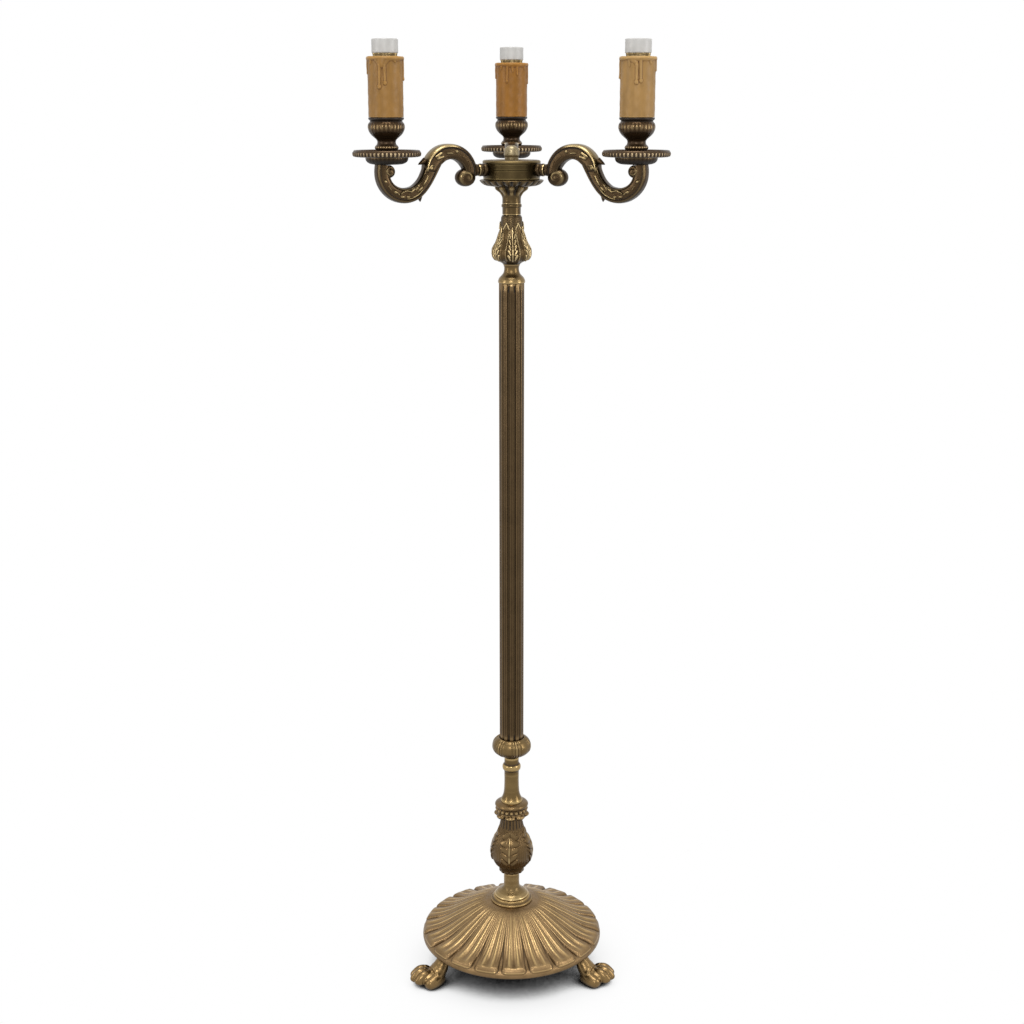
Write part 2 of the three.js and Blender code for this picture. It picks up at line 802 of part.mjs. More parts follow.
// Stations along the centre line: over the upper arch, down a straight, under the lower arch and up to the light
function armStations() {
  const upper = new THREE.Vector2(armLeg + upperArchRadius, -archDrop);
  const lower = new THREE.Vector2(lowerArchCentre, -archDrop);
  const apart = upper.distanceTo(lower);
  const cross = Math.acos(Math.min((upperArchRadius + lowerArchRadius) / apart, 1));
  const stations = [[armLeg + 1.5, -archDrop - 6, armHalfWidth - 1.5]];
  for (let i = 0; i <= upperSteps; i += 1) {
    const angle = Math.PI - (i / upperSteps) * (Math.PI - cross);
    stations.push([
      upper.x + upperArchRadius * Math.cos(angle), upper.y + upperArchRadius * Math.sin(angle), armHalfWidth,
    ]);
  }
  for (let i = 0; i <= lowerSteps; i += 1) {
    const angle = Math.PI + cross + (i / lowerSteps) * (Math.PI - cross);
    const swell = 1.6 * Math.cos((i / lowerSteps) * Math.PI * 2) ** 2;
    stations.push([
      lower.x + lowerArchRadius * Math.cos(angle), lower.y + lowerArchRadius * Math.sin(angle),
      armHalfWidth + swell * 0.4,
    ]);
  }
  stations.push([armReach, armTop - 8, armHalfWidth - 0.4]);
  stations.push([armReach, armTop, armHalfWidth - 2.2]);
  return stations;
}

// A pointed leaf tip in the arm's plane, aimed at an angle from +X towards +Z
function spur(x, z, angle, scale) {
  return new THREE.ConeGeometry(spurRadius * scale, spurLength * scale, 6)
    .rotateX(Math.PI / 2)
    .rotateY(Math.PI / 2 - angle)
    .translate(x, 0, z);
}

// One spur stands off the straight between the arches, the other under the lower arch.
function leafSpurs(stations) {
  const [startX, startZ] = stations[upperSteps + 1];
  const [endX, endZ] = stations[upperSteps + 2];
  const slope = Math.atan2(endZ - startZ, endX - startX);
  const out = armHalfWidth * 1.39;
  const high = spur(
    startX + 0.264 * (endX - startX) - out * Math.sin(slope),
    startZ + 0.264 * (endZ - startZ) + out * Math.cos(slope),
    slope + spurTilt, 1,
  );
  const under = THREE.MathUtils.degToRad(234);
  const reach = lowerArchRadius + armHalfWidth * 1.08;
  const low = spur(
    lowerArchCentre + reach * Math.cos(under), -archDrop + reach * Math.sin(under),
    under + 2 * spurTilt, 0.75,
  );
  return [high, low];
}

function scrolledArm() {
  const stations = armStations();
  const w = armHalfWidth;
  const bar = swept(stations, 8, armFlatness);
  const boss = ball(armLeg + 0.62 * w, 0, -0.85 * w, 1.52 * w, 0.94 * w, 1.34 * w, 10, 6);
  const nose = ball(armLeg + 1.21 * w, 0, -1.2 * w, 0.91 * w, 0.8 * w, 0.91 * w, 8, 5);
  const curl = ball(armReach - 0.73 * w, 0, -0.05 * w, 0.86 * w, 0.75 * w, 0.93 * w, 8, 5);
  const pad = radialPin(ferruleRadius - 1.3, ferruleEnd + seatGap, armLeg, 0, 8);
  const stud = radialPin(studRadius, hubInner - armNutHeight - 3, ferruleEnd + 4, 0, 12);
  let solid = joined(bar, boss, nose, curl, pad, stud, ...leafSpurs(stations));
  const wires = [[ferruleEnd, 0, wireBore], [armLeg - 4, 0.5, wireBore], [armLeg, 6, wireBore]];
  const inner = stations.filter((_, i) => i > 2 && i < stations.length - 2 && i % 2 === 1);
  const run = [...wires, ...inner.map(([x, z]) => [x, z, wireBore]), [armReach, armTop - nippleEngagement - 1, wireBore]];
  solid = solid.subtract(toSolid(swept(run, 6)));
  solid = solid.subtract(toSolid(radialPin(wireBore, 0, ferruleEnd + 1, 0, 6)));
  const socket = turned([
    [0, armTop - nippleEngagement - seatGap],
    [nippleRadius + threadGap, armTop - nippleEngagement - seatGap],
    [nippleRadius + threadGap, armTop + 5],
    [0, armTop + 5],
  ], smallSides);
  solid = solid.subtract(toSolid(socket.translate(armReach, 0, 0)));
  return toGeometry(solid);
}

// Ferrule of two rings, its inner end hollowed to sit on the round drum
function armFerrule() {
  const ring = ferruleLength / 2;
  const ferruleNeck = hubHeight - hubWall - armAxisAboveFloor - 2 * seatGap;
  const profile = [
    [studRadius + threadGap, ferruleStart - 4],
    [ferruleNeck, ferruleStart - 4],
    [ferruleNeck, ferruleStart + 1.6],
    [ferruleRadius, ferruleStart + 2.4],
    [ferruleRadius - 0.4, ferruleStart + ring - 2],
    [ferruleRadius - 2.2, ferruleStart + ring],
    [ferruleRadius - 0.4, ferruleStart + ring + 2],
    [ferruleRadius, ferruleStart + ring + 4],
    [ferruleRadius - 0.8, ferruleEnd - 1],
    [ferruleRadius - 1.4, ferruleEnd],
    [studRadius + threadGap, ferruleEnd],
    [studRadius + threadGap, ferruleStart - 4],
  ];
  const ferrule = turned(profile, smallSides).rotateY(Math.PI / 2);
  const drum = turned([[0, -30], [ferruleStart, -30], [ferruleStart, 30], [0, 30]], 36);
  return toGeometry(toSolid(ferrule).subtract(toSolid(drum)));
}

// Candle light, standing on the end of an arm; heights above the arm's top face

const bowlSeat = armTop + seatGap;
const panSeat = bowlSeat + bowlHeight + seatGap;
const cupSeat = panSeat + panFloor + seatGap;
const sleeveSeat = cupSeat + cupHeight + seatGap;
const cupCollarRadius = sleeveRadius - sleeveWall - threadGap;
const capClear = holderCapRadius + capOpeningGap;
const sleeveTop = sleeveSeat + sleeveHeight;
const holderTop = sleeveTop + 5.4;
const holderSeat = holderTop - holderHeight;
const nippleTop = holderSeat + nippleEngagement;
const nippleBore = nippleRadius + threadGap;

function underBowl() {
  return turned([
    [nippleBore, 0],
    [13, 0],
    [21, 1.6],
    [27.5, 5.2],
    [bowlRadius, bowlHeight],
    [bowlRadius - bowlWall, bowlHeight],
    [25 - bowlWall, 4.6 + bowlWall * 0.6],
    [12, bowlWall],
    [nippleBore, bowlWall],
    [nippleBore, 0],
  ], mediumSides).translate(0, 0, bowlSeat);
}

// Shallow dish with a tall rounded rim
function dripPan() {
  const top = panRimHeight;
  return turned([
    [nippleBore, 0],
    [panRadius - 10, 0],
    [panRadius - 2.6, 0.6],
    [panRadius, top * 0.5],
    [panRadius - 1, top - 0.8],
    [panRadius - 3, top],
    [panRadius - 5.4, 4.4],
    [panRadius - 10, panFloor],
    [nippleBore, panFloor],
    [nippleBore, 0],
  ], fineSides).translate(0, 0, panSeat);
}

function candleCup() {
  const foot = [[8.4, 0], [8.4, 5], [cupWaist + 2.5, 10], [cupWaist, 17.8]];
  const bulge = [
    [cupWaist + 2.8, 22.5],
    [cupRadius * 0.84, 28.8],
    [cupRadius, 37],
    [cupRadius * 0.96, 43],
    [cupRadius * 0.867, 47],
  ];
  const collar = 3.5;
  return turned([
    [nippleBore, 0],
    ...foot,
    ...bulge,
    [sleeveRadius + 0.4, cupHeight - 1.6],
    [sleeveRadius + 0.4, cupHeight],
    [cupCollarRadius, cupHeight],
    [cupCollarRadius, cupHeight + collar],
    [cupCollarRadius - 1.8, cupHeight + collar],
    [cupRadius * 0.867 - cupWall, 46.5],
    [cupRadius - cupWall, 38],
    [cupWaist, 26.5],
    [nippleBore, 23],
    [nippleBore, 0],
  ], mediumSides).translate(0, 0, cupSeat);
}

// Candle tube that stands over the cup's collar; a roll of wax runs round its top
function candleSleeve() {
  const h = sleeveHeight;
  const inner = sleeveRadius - sleeveWall;
  return turned([
    [inner, 0],
    [sleeveRadius, 0],
    [sleeveRadius, h - 9],
    [sleeveRadius + waxRoll, h - 3.5],
    [sleeveRadius - 0.5, h],
    [capClear, h - 0.4],
    [capClear, h - 3],
    [inner, h - 5],
    [inner, 0],
  ], mediumSides).translate(0, 0, sleeveSeat);
}

function holderBody() {
  const inner = holderRadius - holderWall;
  return turned([
    [nippleBore, 0],
    [9.5, 0],
    [9.5, 3],
    [holderRadius, 7],
    [holderRadius, holderHeight],
    [inner, holderHeight],
    [inner, holderFloor],
    [wireBore, holderFloor],
    [wireBore, nippleEngagement + seatGap],
    [nippleBore, nippleEngagement + seatGap],
    [nippleBore, 0],
  ], smallSides).translate(0, 0, holderSeat);
}

function holderCap() {
  return turned(bored([
    [holderCapRadius, 0],
    [holderCapRadius, holderCapHeight - 1.2],
    [holderCapRadius - 1, holderCapHeight],
  ], shellRadius + spigotGap), mediumSides).translate(0, 0, holderTop + seatGap);
}

function screwShell() {
  return turned([
    [0, 0],
    [shellRadius, 0],
    [shellRadius, shellHeight],
    [shellRadius - shellWall, shellHeight],
    [shellRadius - shellWall, 1],
    [0, 1],
  ], 16).translate(0, 0, holderSeat + holderFloor + seatGap);
}

function nipple() {
  return tube(nippleRadius, nippleWall, armTop - nippleEngagement, nippleTop, smallSides);
}

const armNutSeat = hubInner - armNutHeight - 1.2;
for (const side of ['left', 'right', 'back']) {
  const arm = new THREE.Group();
  arm.position.z = armAxis;
  arm.rotation.z = armAngles[side];
  lamp.add(arm);
  place(`arm_${side}`, scrolledArm(), agedBrass, arm);
  place(`arm_ferrule_${side}`, armFerrule(), agedBrass, arm);
  const nut = hexNut(armNutWidth, armNutHeight, studRadius + threadGap).rotateY(Math.PI / 2);
  place(`arm_nut_${side}`, nut.translate(armNutSeat, 0, 0), steel, arm);

  const light = new THREE.Group();
  light.position.x = armReach;
  arm.add(light);
  place(`under_bowl_${side}`, underBowl(), darkBrass, light);
  place(`drip_pan_${side}`, dripPan(), agedBrass, light);
  place(`candle_cup_${side}`, candleCup(), darkBrass, light);
  place(`holder_nipple_${side}`, nipple(), steel, light);
  place(`candle_sleeve_${side}`, candleSleeve(), wax, light);
  place(`holder_body_${side}`, holderBody(), phenolic, light);
  place(`screw_shell_${side}`, screwShell(), paleBrass, light);
  place(`holder_cap_${side}`, holderCap(), white, light);
}

// The origin is on the floor, under the middle of the whole lamp's box.
const model = new THREE.Group();
model.add(lamp);
lamp.updateMatrixWorld(true);
const box = new THREE.Box3().setFromObject(lamp, true);
const middle = box.getCenter(new THREE.Vector3());
lamp.position.set(-middle.x, -middle.y, -box.min.z);

export default model;
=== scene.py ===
"""A brass floor lamp with three candle lights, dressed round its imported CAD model.

The CAD's nodes give every place. Each visible piece is a surface worked out here in millimetres, in the
lamp's own frame: the column's axis is x = y = 0 and the floor is z = 0. It is moved to the row's frame
and turned into metres when its mesh is made.
"""
import json
import math

import bpy
import numpy as np
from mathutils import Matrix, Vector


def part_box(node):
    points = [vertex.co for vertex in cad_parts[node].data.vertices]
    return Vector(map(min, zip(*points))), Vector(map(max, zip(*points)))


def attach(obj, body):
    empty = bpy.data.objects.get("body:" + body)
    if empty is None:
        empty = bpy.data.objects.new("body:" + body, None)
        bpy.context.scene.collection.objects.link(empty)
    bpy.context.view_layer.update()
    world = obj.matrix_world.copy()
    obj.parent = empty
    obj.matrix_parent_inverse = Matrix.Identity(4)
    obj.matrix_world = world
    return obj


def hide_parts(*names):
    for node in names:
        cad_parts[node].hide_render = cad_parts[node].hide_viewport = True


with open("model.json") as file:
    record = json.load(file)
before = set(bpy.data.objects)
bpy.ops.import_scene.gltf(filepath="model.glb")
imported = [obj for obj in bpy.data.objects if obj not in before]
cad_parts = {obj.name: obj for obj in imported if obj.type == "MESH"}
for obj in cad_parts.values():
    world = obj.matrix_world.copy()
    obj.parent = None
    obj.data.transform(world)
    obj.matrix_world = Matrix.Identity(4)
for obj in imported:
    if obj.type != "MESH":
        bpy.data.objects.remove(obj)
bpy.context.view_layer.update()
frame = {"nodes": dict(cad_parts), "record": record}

MM = 0.001
TURN = 2 * math.pi
FRONT = -math.pi / 2

# Where the column stands in the row's frame
tube_low, tube_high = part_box("fluted_tube")
COLUMN_Y = (tube_low.y + tube_high.y) / 2 / MM
SIDES = {"left": math.radians(210), "right": math.radians(330), "back": math.radians(90)}
ARM_REACH = 206.0
BASE_TURN = math.radians(1.2)


# Small tools for shapes


def heights(node):
    """The lowest and highest height of a CAD node, in millimetres."""
    low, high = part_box(node)
    return low.z / MM, high.z / MM


def ease(low, high, x):
    """0 below low, 1 above high, and a smooth S between them."""
    t = np.clip((x - low) / (high - low), 0, 1)
    return t * t * (3 - 2 * t)


def bump(x, centre, width):
    """A bell of height 1 at centre that has died away at about two widths."""
    return np.exp(-(((x - centre) / width) ** 2))


def curve_through(keys, step):
    """A smooth line through key points: cubic pieces whose slopes come from their neighbours."""
    keys = np.asarray(keys, float)
    t = np.concatenate([[0], np.cumsum(np.linalg.norm(np.diff(keys, axis=0), axis=1))])
    if len(keys) > 2:
        slope = np.gradient(keys, t, axis=0)
    else:
        slope = np.repeat((keys[1:] - keys[:1]) / t[1], 2, axis=0)
    s = np.linspace(0, t[-1], max(2, int(round(t[-1] / step)) + 1))
    i = np.clip(np.searchsorted(t, s, side="right") - 1, 0, len(t) - 2)
    gap = (t[i + 1] - t[i])[:, None]
    u = (s - t[i])[:, None] / gap
    start = (2 * u**3 - 3 * u**2 + 1) * keys[i] + (u**3 - 2 * u**2 + u) * gap * slope[i]
    return start + (3 * u**2 - 2 * u**3) * keys[i + 1] + (u**3 - u**2) * gap * slope[i + 1]


def outline(*runs, step=0.8):
    """Joins several smooth runs of (radius, height) keys; a corner is where two runs meet."""
    lines = [curve_through(run, step) for run in runs]
    kept = [lines[0]]
    for line in lines[1:]:
        same = np.linalg.norm(line[0] - kept[-1][-1]) < 1e-6
        kept.append(line[1:] if same else line)
    return np.concatenate(kept)


def angles(count):
    return np.arange(count) * TURN / count


def turned(line, columns, relief=None):
    """A (radius, height) line carried round Z. relief(angle, height, radius) in mm pushes it out along
    the line's own normal. Returns rows of rings of points."""
    along = np.gradient(line, axis=0)
    along /= np.linalg.norm(along, axis=1, keepdims=True) + 1e-12
    a = angles(columns)[None, :]
    r, z = line[:, :1], line[:, 1:]
    push = 0 if relief is None else relief(a, z, r)
    radius = r + along[:, 1:] * push
    height = z - along[:, :1] * push + 0 * a
    return np.stack([radius * np.cos(a), radius * np.sin(a), height], axis=-1)


def swept(path, across, up, section):
    """Rings of points round a path: section(step, angle) gives how far each point lies along across and up."""
    a = angles(section.shape[1])[None, :, None]
    wide = section[..., None] * np.cos(a) * across[:, None, :]
    tall = section[..., None] * np.sin(a) * up[:, None, :]
    return path[:, None, :] + wide + tall


def rotated(points, angle):
    """Turns points about Z."""
    c, s = math.cos(angle), math.sin(angle)
    return points @ np.array([[c, s, 0], [-s, c, 0], [0, 0, 1]])


def faces_of(rows, columns, loop):
    """Quads of a grid whose columns run round, closed by a fan at each end, or joined end to end."""
    i = np.arange(rows if loop else rows - 1)[:, None]
    j = np.arange(columns)[None, :]
    i2, j2 = (i + 1) % rows, (j + 1) % columns
    quads = np.stack([i * columns + j, i * columns + j2, i2 * columns + j2, i2 * columns + j], -1).reshape(-1, 4)
    if loop:
        return quads, np.zeros((0, 3), int)
    j = np.arange(columns)
    first, last = rows * columns, rows * columns + 1
    top = (rows - 1) * columns
    fans = [np.stack([np.full(columns, first), (j + 1) % columns, j], -1),
            np.stack([np.full(columns, last), top + j, top + (j + 1) % columns], -1)]
    return quads, np.concatenate(fans)


def closed_mesh(name, grids, loop=False, move=(0.0, COLUMN_Y, 0.0)):
    """One mesh from closed grids of points in the lamp's frame, its faces turned outwards."""
    points, loops, sizes, offset = [], [], [], 0
    for grid in grids:
        rows, columns = grid.shape[:2]
        flat = grid.reshape(-1, 3)
        quads, fans = faces_of(rows, columns, loop)
        if not loop:
            flat = np.concatenate([flat, grid[0].mean(0)[None], grid[-1].mean(0)[None]])
        corners = flat[quads]
        middle = flat.mean(0)
        volume = np.einsum("ij,ij->", corners[:, 0] - middle, np.cross(corners[:, 1] - middle, corners[:, 2] - middle))
        volume += np.einsum("ij,ij->", corners[:, 0] - middle, np.cross(corners[:, 2] - middle, corners[:, 3] - middle))
        if volume < 0:
            quads, fans = quads[:, ::-1], fans[:, ::-1]
        points.append(flat)
        loops.append(np.concatenate([quads.ravel(), fans.ravel()]) + offset)
        sizes.append(np.concatenate([np.full(len(quads), 4), np.full(len(fans), 3)]))
        offset += len(flat)
    co = (np.concatenate(points) + np.array(move)) * MM
    loops, sizes = np.concatenate(loops), np.concatenate(sizes)
    mesh = bpy.data.meshes.new(name)
    mesh.vertices.add(len(co))
    mesh.vertices.foreach_set("co", co.astype(np.float32).ravel())
    mesh.loops.add(len(loops))
    mesh.loops.foreach_set("vertex_index", loops.astype(np.int32))
    mesh.polygons.add(len(sizes))
    mesh.polygons.foreach_set("loop_start", np.concatenate([[0], np.cumsum(sizes)[:-1]]).astype(np.int32))
    mesh.polygons.foreach_set("loop_total", sizes.astype(np.int32))
    mesh.update(calc_edges=True)
    mesh.validate()
    return mesh


def relief_of(mesh, rounds, depth):
    """How far each point stands above its surroundings: 0.5 is level, 0 a recess that is depth mm deep or
    more, 1 such a ridge. The surroundings are the points after some rounds of averaging."""
    n = len(mesh.vertices)
    co = np.empty(n * 3)
    mesh.vertices.foreach_get("co", co)
    co = co.reshape(-1, 3)
    normal = np.empty(n * 3)
    mesh.vertices.foreach_get("normal", normal)
    normal = normal.reshape(-1, 3)
    edges = np.empty(len(mesh.edges) * 2, int)
    mesh.edges.foreach_get("vertices", edges)
    one = np.concatenate([edges[0::2], edges[1::2]])
    other = np.concatenate([edges[1::2], edges[0::2]])
    count = np.maximum(np.bincount(one, minlength=n), 1)[:, None]
    soft = co.copy()
    for _ in range(rounds):
        total = np.stack([np.bincount(one, weights=soft[other, k], minlength=n) for k in range(3)], -1)
        soft = 0.5 * soft + 0.5 * total / count
    stand = ((co - soft) * normal).sum(1) / (depth * MM)
    for _ in range(2):
        stand = 0.5 * stand + 0.5 * np.bincount(one, weights=stand[other], minlength=n) / count[:, 0]
    return 0.5 + 0.5 * np.tanh(stand)


def add_piece(name, mesh, material, body, slot, *nodes, crease=38, rounds=5, depth=0.25, wear_and_light=None):
    """Makes the object, rides it on its body and lets it stand for its CAD nodes. Its relief attribute, which
    the patina and painted shade read, is worked out from the shape, or is the grid given for it, which holds wear
    together with painted highlight and painted shade."""
    mesh.polygons.foreach_set("use_smooth", np.ones(len(mesh.polygons), bool))
    mesh.set_sharp_from_angle(angle=math.radians(crease))
    value = relief_of(mesh, rounds, depth) if wear_and_light is None else wear_and_light
    mesh.attributes.new("relief", "FLOAT", "POINT").data.foreach_set("value", value.astype(np.float32).ravel())
    mesh.materials.append(material)
    piece = bpy.data.objects.new(name, mesh)
    bpy.context.scene.collection.objects.link(piece)
    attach(piece, body)
    if nodes:
        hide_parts(*nodes)
    return piece


# Materials


def new_group(name, inputs, outputs):
    """An empty shader node group with the named float inputs (with their starting values) and outputs."""
    group = bpy.data.node_groups.new(name, "ShaderNodeTree")
    for label, value in inputs.items():
        socket = group.interface.new_socket(label, in_out="INPUT", socket_type="NodeSocketFloat")
        socket.default_value = value
    for label, kind in outputs.items():
        group.interface.new_socket(label, in_out="OUTPUT", socket_type=kind)
    return group


def add_node(tree, kind, settings=(), **values):
    """Adds a node, sets its properties, and sets or links its inputs by name."""
    node = tree.nodes.new(kind)
    for key, value in dict(settings).items():
        setattr(node, key, value)
    for key, value in values.items():
        socket = node.inputs[key.replace("_", " ")] if key.replace("_", " ") in node.inputs else node.inputs[key]
        if isinstance(value, bpy.types.NodeSocket):
            tree.links.new(value, socket)
        else:
            socket.default_value = value
    return node


def ranged(tree, value, low, high, to_low=0.0, to_high=1.0):
    """Maps a value from low..high to another range, smoothly and clamped."""
    node = add_node(tree, "ShaderNodeMapRange", {"interpolation_type": "SMOOTHSTEP"}, Value=value)
    node.inputs["From Min"].default_value = low
    node.inputs["From Max"].default_value = high
    node.inputs["To Min"].default_value = to_low
    node.inputs["To Max"].default_value = to_high
    return node.outputs["Result"]


def maths(tree, operation, a, b=0.0):
    node = tree.nodes.new("ShaderNodeMath")
    node.operation = operation
    for socket, value in zip(node.inputs, (a, b)):
        if isinstance(value, bpy.types.NodeSocket):
            tree.links.new(value, socket)
        else:
            socket.default_value = value
    return node.outputs[0]


def mixed(tree, share, a, b):
    """Mixes two colours; each is a socket or a (red, green, blue)."""
    node = tree.nodes.new("ShaderNodeMix")
    node.data_type = "RGBA"
    for socket, value in ((node.inputs[0], share), (node.inputs[6], a), (node.inputs[7], b)):
        if isinstance(value, bpy.types.NodeSocket):
            tree.links.new(value, socket)
        elif isinstance(value, tuple):
            socket.default_value = (*value, 1.0)
        else:
            socket.default_value = value
    return node.outputs[2]


def noise(tree, coordinates, scale, detail=3.0, roughness=0.55):
    node = add_node(tree, "ShaderNodeTexNoise", {"noise_dimensions": "3D"}, Vector=coordinates)
    node.inputs["Scale"].default_value = scale
    node.inputs["Detail"].default_value = detail
    node.inputs["Roughness"].default_value = roughness
    return node.outputs["Fac"]


def shade(red, green, blue):
    """A colour as a picture shows it, 0 to 255, as the linear values that shaders take."""
    c = np.array([red, green, blue]) / 255
    return tuple(float(v) for v in np.where(c <= 0.04045, c / 12.92, ((c + 0.055) / 1.055) ** 2.4))


def patina_and_shade_group():
    """Where old brass is dark and where it is bright, from the relief stored on the surface, which holds wear and
    on some pieces painted highlight and painted shade. Recess and Ridge are masks, Underside Shade marks the surfaces
    that face down, to be darkened as painted shade, Mottle is a slow change of tone, Grain a finer one, and Height the
    cast skin."""
    group = new_group(
        "old_brass_patina_and_shade",
        {"Recess Width": 0.2, "Ridge Width": 0.2},
        {name: "NodeSocketFloat" for name in ("Recess", "Ridge", "Underside Shade", "Mottle", "Grain", "Height")},
    )
    start = group.nodes.new("NodeGroupInput")
    end = group.nodes.new("NodeGroupOutput")
    coordinates = group.nodes.new("ShaderNodeTexCoord")
    where = coordinates.outputs["Object"]
    relief = add_node(group, "ShaderNodeAttribute", {"attribute_name": "relief"}).outputs["Fac"]
    slow = noise(group, where, 38.0, 4.0)
    patches = noise(group, where, 150.0, 5.0, 0.65)
    fine = noise(group, where, 900.0, 3.0, 0.6)
    wobble = maths(group, "MULTIPLY", maths(group, "SUBTRACT", patches, 0.5), 0.05)
    level = maths(group, "ADD", relief, wobble)
    below = maths(group, "DIVIDE", maths(group, "SUBTRACT", 0.5, level), start.outputs["Recess Width"])
    above = maths(group, "DIVIDE", maths(group, "SUBTRACT", level, 0.5), start.outputs["Ridge Width"])
    facing = add_node(group, "ShaderNodeSeparateXYZ", Vector=coordinates.outputs["Normal"]).outputs["Z"]
    group.links.new(ranged(group, below, 0.0, 1.0), end.inputs["Recess"])
    group.links.new(ranged(group, above, 0.0, 1.0), end.inputs["Ridge"])
    # Painted shade: the surfaces that face down are marked here to be darkened, as shade under them.
    group.links.new(ranged(group, facing, 0.05, -0.75), end.inputs["Underside Shade"])
    group.links.new(ranged(group, slow, 0.3, 0.7), end.inputs["Mottle"])
    group.links.new(ranged(group, patches, 0.3, 0.7), end.inputs["Grain"])
    group.links.new(fine, end.inputs["Height"])
    return group


PATINA_AND_SHADE = patina_and_shade_group()


def plain_material(name, colour, roughness, metallic=0.0):
    """A material with its principled shader, and its tree."""
    material = bpy.data.materials.new(name)
    material.use_nodes = True
    shader = material.node_tree.nodes["Principled BSDF"]
    shader.inputs["Base Color"].default_value = (*colour, 1.0)
    shader.inputs["Roughness"].default_value = roughness
    shader.inputs["Metallic"].default_value = metallic
    return material, material.node_tree, shader


# under is how strongly painted shade darkens the surfaces that face down.
def old_brass(name, deep, body, bright, rough=0.36, recess=0.25, ridge=0.25, skin=0.12, under=0.5):
    """Antique brass: dark patina in the recesses, painted shade on the undersides, brown on the level, gold on the
    ridges: rubbed wear, and painted highlight where a piece's relief is painted.
    """
    deep, body, bright = shade(*deep), shade(*body), shade(*bright)
    material, tree, shader = plain_material(name, body, rough, 0.9)
    patina_and_shade = tree.nodes.new("ShaderNodeGroup")
    patina_and_shade.node_tree = PATINA_AND_SHADE
    patina_and_shade.inputs["Recess Width"].default_value = recess
    patina_and_shade.inputs["Ridge Width"].default_value = ridge
    out = patina_and_shade.outputs
    low = tuple(0.84 * c for c in body)
    high = tuple(min(1.0, 1.14 * c) for c in body)
    tone = mixed(tree, out["Mottle"], low, high)
    tone = mixed(tree, ranged(tree, out["Grain"], 0.0, 1.0, 0.0, 0.12), tone, deep)
    tone = mixed(tree, maths(tree, "MULTIPLY", out["Ridge"], 0.85), tone, bright)
    # dark takes the stronger of the recess patina and the painted shade on the surfaces that face down, scaled by
    # under.
    dark = maths(tree, "MAXIMUM", maths(tree, "MULTIPLY", out["Recess"], 0.88), maths(tree, "MULTIPLY", out["Underside Shade"], under))
    tone = mixed(tree, dark, tone, deep)
    tree.links.new(tone, shader.inputs["Base Color"])
    tree.links.new(ranged(tree, dark, 0.0, 1.0, 0.92, 0.55), shader.inputs["Metallic"])
    level = maths(tree, "ADD", maths(tree, "MULTIPLY", out["Grain"], 0.12), rough - 0.06)
    level = maths(tree, "ADD", level, maths(tree, "MULTIPLY", dark, 0.2))
    level = maths(tree, "SUBTRACT", level, maths(tree, "MULTIPLY", out["Ridge"], 0.06))
    tree.links.new(level, shader.inputs["Roughness"])
    bumps = add_node(tree, "ShaderNodeBump", Height=out["Height"])
    bumps.inputs["Strength"].default_value = skin
    bumps.inputs["Distance"].default_value = 0.0003
    tree.links.new(bumps.outputs["Normal"], shader.inputs["Normal"])
    return material


# In these brasses under sets how much painted shade darkens the surfaces that face down.
CAST_BRASS = old_brass("cast_brass", (42, 30, 19), (96, 77, 52), (176, 150, 106))
BASE_BRASS = old_brass("base_brass", (66, 49, 28), (132, 107, 74), (196, 166, 114), rough=0.4, under=0.7)
PEAR_BRASS = old_brass("pear_brass", (38, 27, 15), (104, 83, 54), (196, 170, 122), rough=0.25)
PETAL_BRASS = old_brass("petal_brass", (46, 33, 20), (116, 94, 62), (194, 168, 120), rough=0.32)
KNOP_BRASS = old_brass("knop_brass", (50, 36, 21), (108, 88, 56), (176, 150, 104), rough=0.3)
BALUSTER_BRASS = old_brass("baluster_brass", (30, 21, 12), (84, 67, 42), (206, 182, 134), rough=0.27)
CALYX_BRASS = old_brass("calyx_brass", (22, 15, 9), (92, 75, 48), (176, 152, 108), rough=0.32, under=0.25)
LID_BRASS = old_brass("lid_brass", (30, 23, 14), (58, 47, 28), (120, 102, 66), rough=0.5)
COLLAR_BRASS = old_brass("collar_brass", (60, 45, 27), (116, 94, 62), (168, 140, 92), rough=0.4)
FOOT_BRASS = old_brass("foot_brass", (60, 45, 26), (134, 111, 73), (196, 170, 122), rough=0.3, ridge=0.4)
ARM_BRASS = old_brass("arm_brass", (28, 20, 12), (68, 53, 34), (196, 172, 122), rough=0.3)
TUBE_BRASS = old_brass("tube_brass", (14, 9, 5), (76, 60, 40), (124, 102, 70), rough=0.3)
PAN_BRASS = old_brass("pan_brass", (34, 24, 17), (78, 62, 45), (196, 174, 136), under=0.3)
POLISHED_BRASS = old_brass("polished_brass", (56, 41, 24), (106, 86, 53), (172, 146, 98), rough=0.28)
DRUM_BRASS = old_brass("drum_brass", (36, 28, 17), (76, 63, 38), (138, 120, 80), rough=0.36)
CUP_BRASS = old_brass("cup_brass", (30, 21, 13), (70, 53, 34), (150, 128, 92), rough=0.26)
# The bowl hangs under the pan: its dark body is patina with painted shade, and its underside takes the most painted
# shade.
BOWL_BRASS = old_brass("bowl_brass", (24, 17, 11), (50, 39, 28), (120, 102, 74), rough=0.4, under=0.9)
DOME_BRASS = old_brass("dome_brass", (90, 78, 56), (136, 122, 94), (166, 152, 120), rough=0.42)
PAW_BRASS = old_brass("paw_brass", (60, 44, 26), (128, 104, 68), (226, 202, 152), rough=0.3, recess=0.4,
                      ridge=0.5)
RING_BRASS = old_brass("ring_brass", (56, 44, 28), (112, 94, 62), (180, 160, 118), rough=0.3)


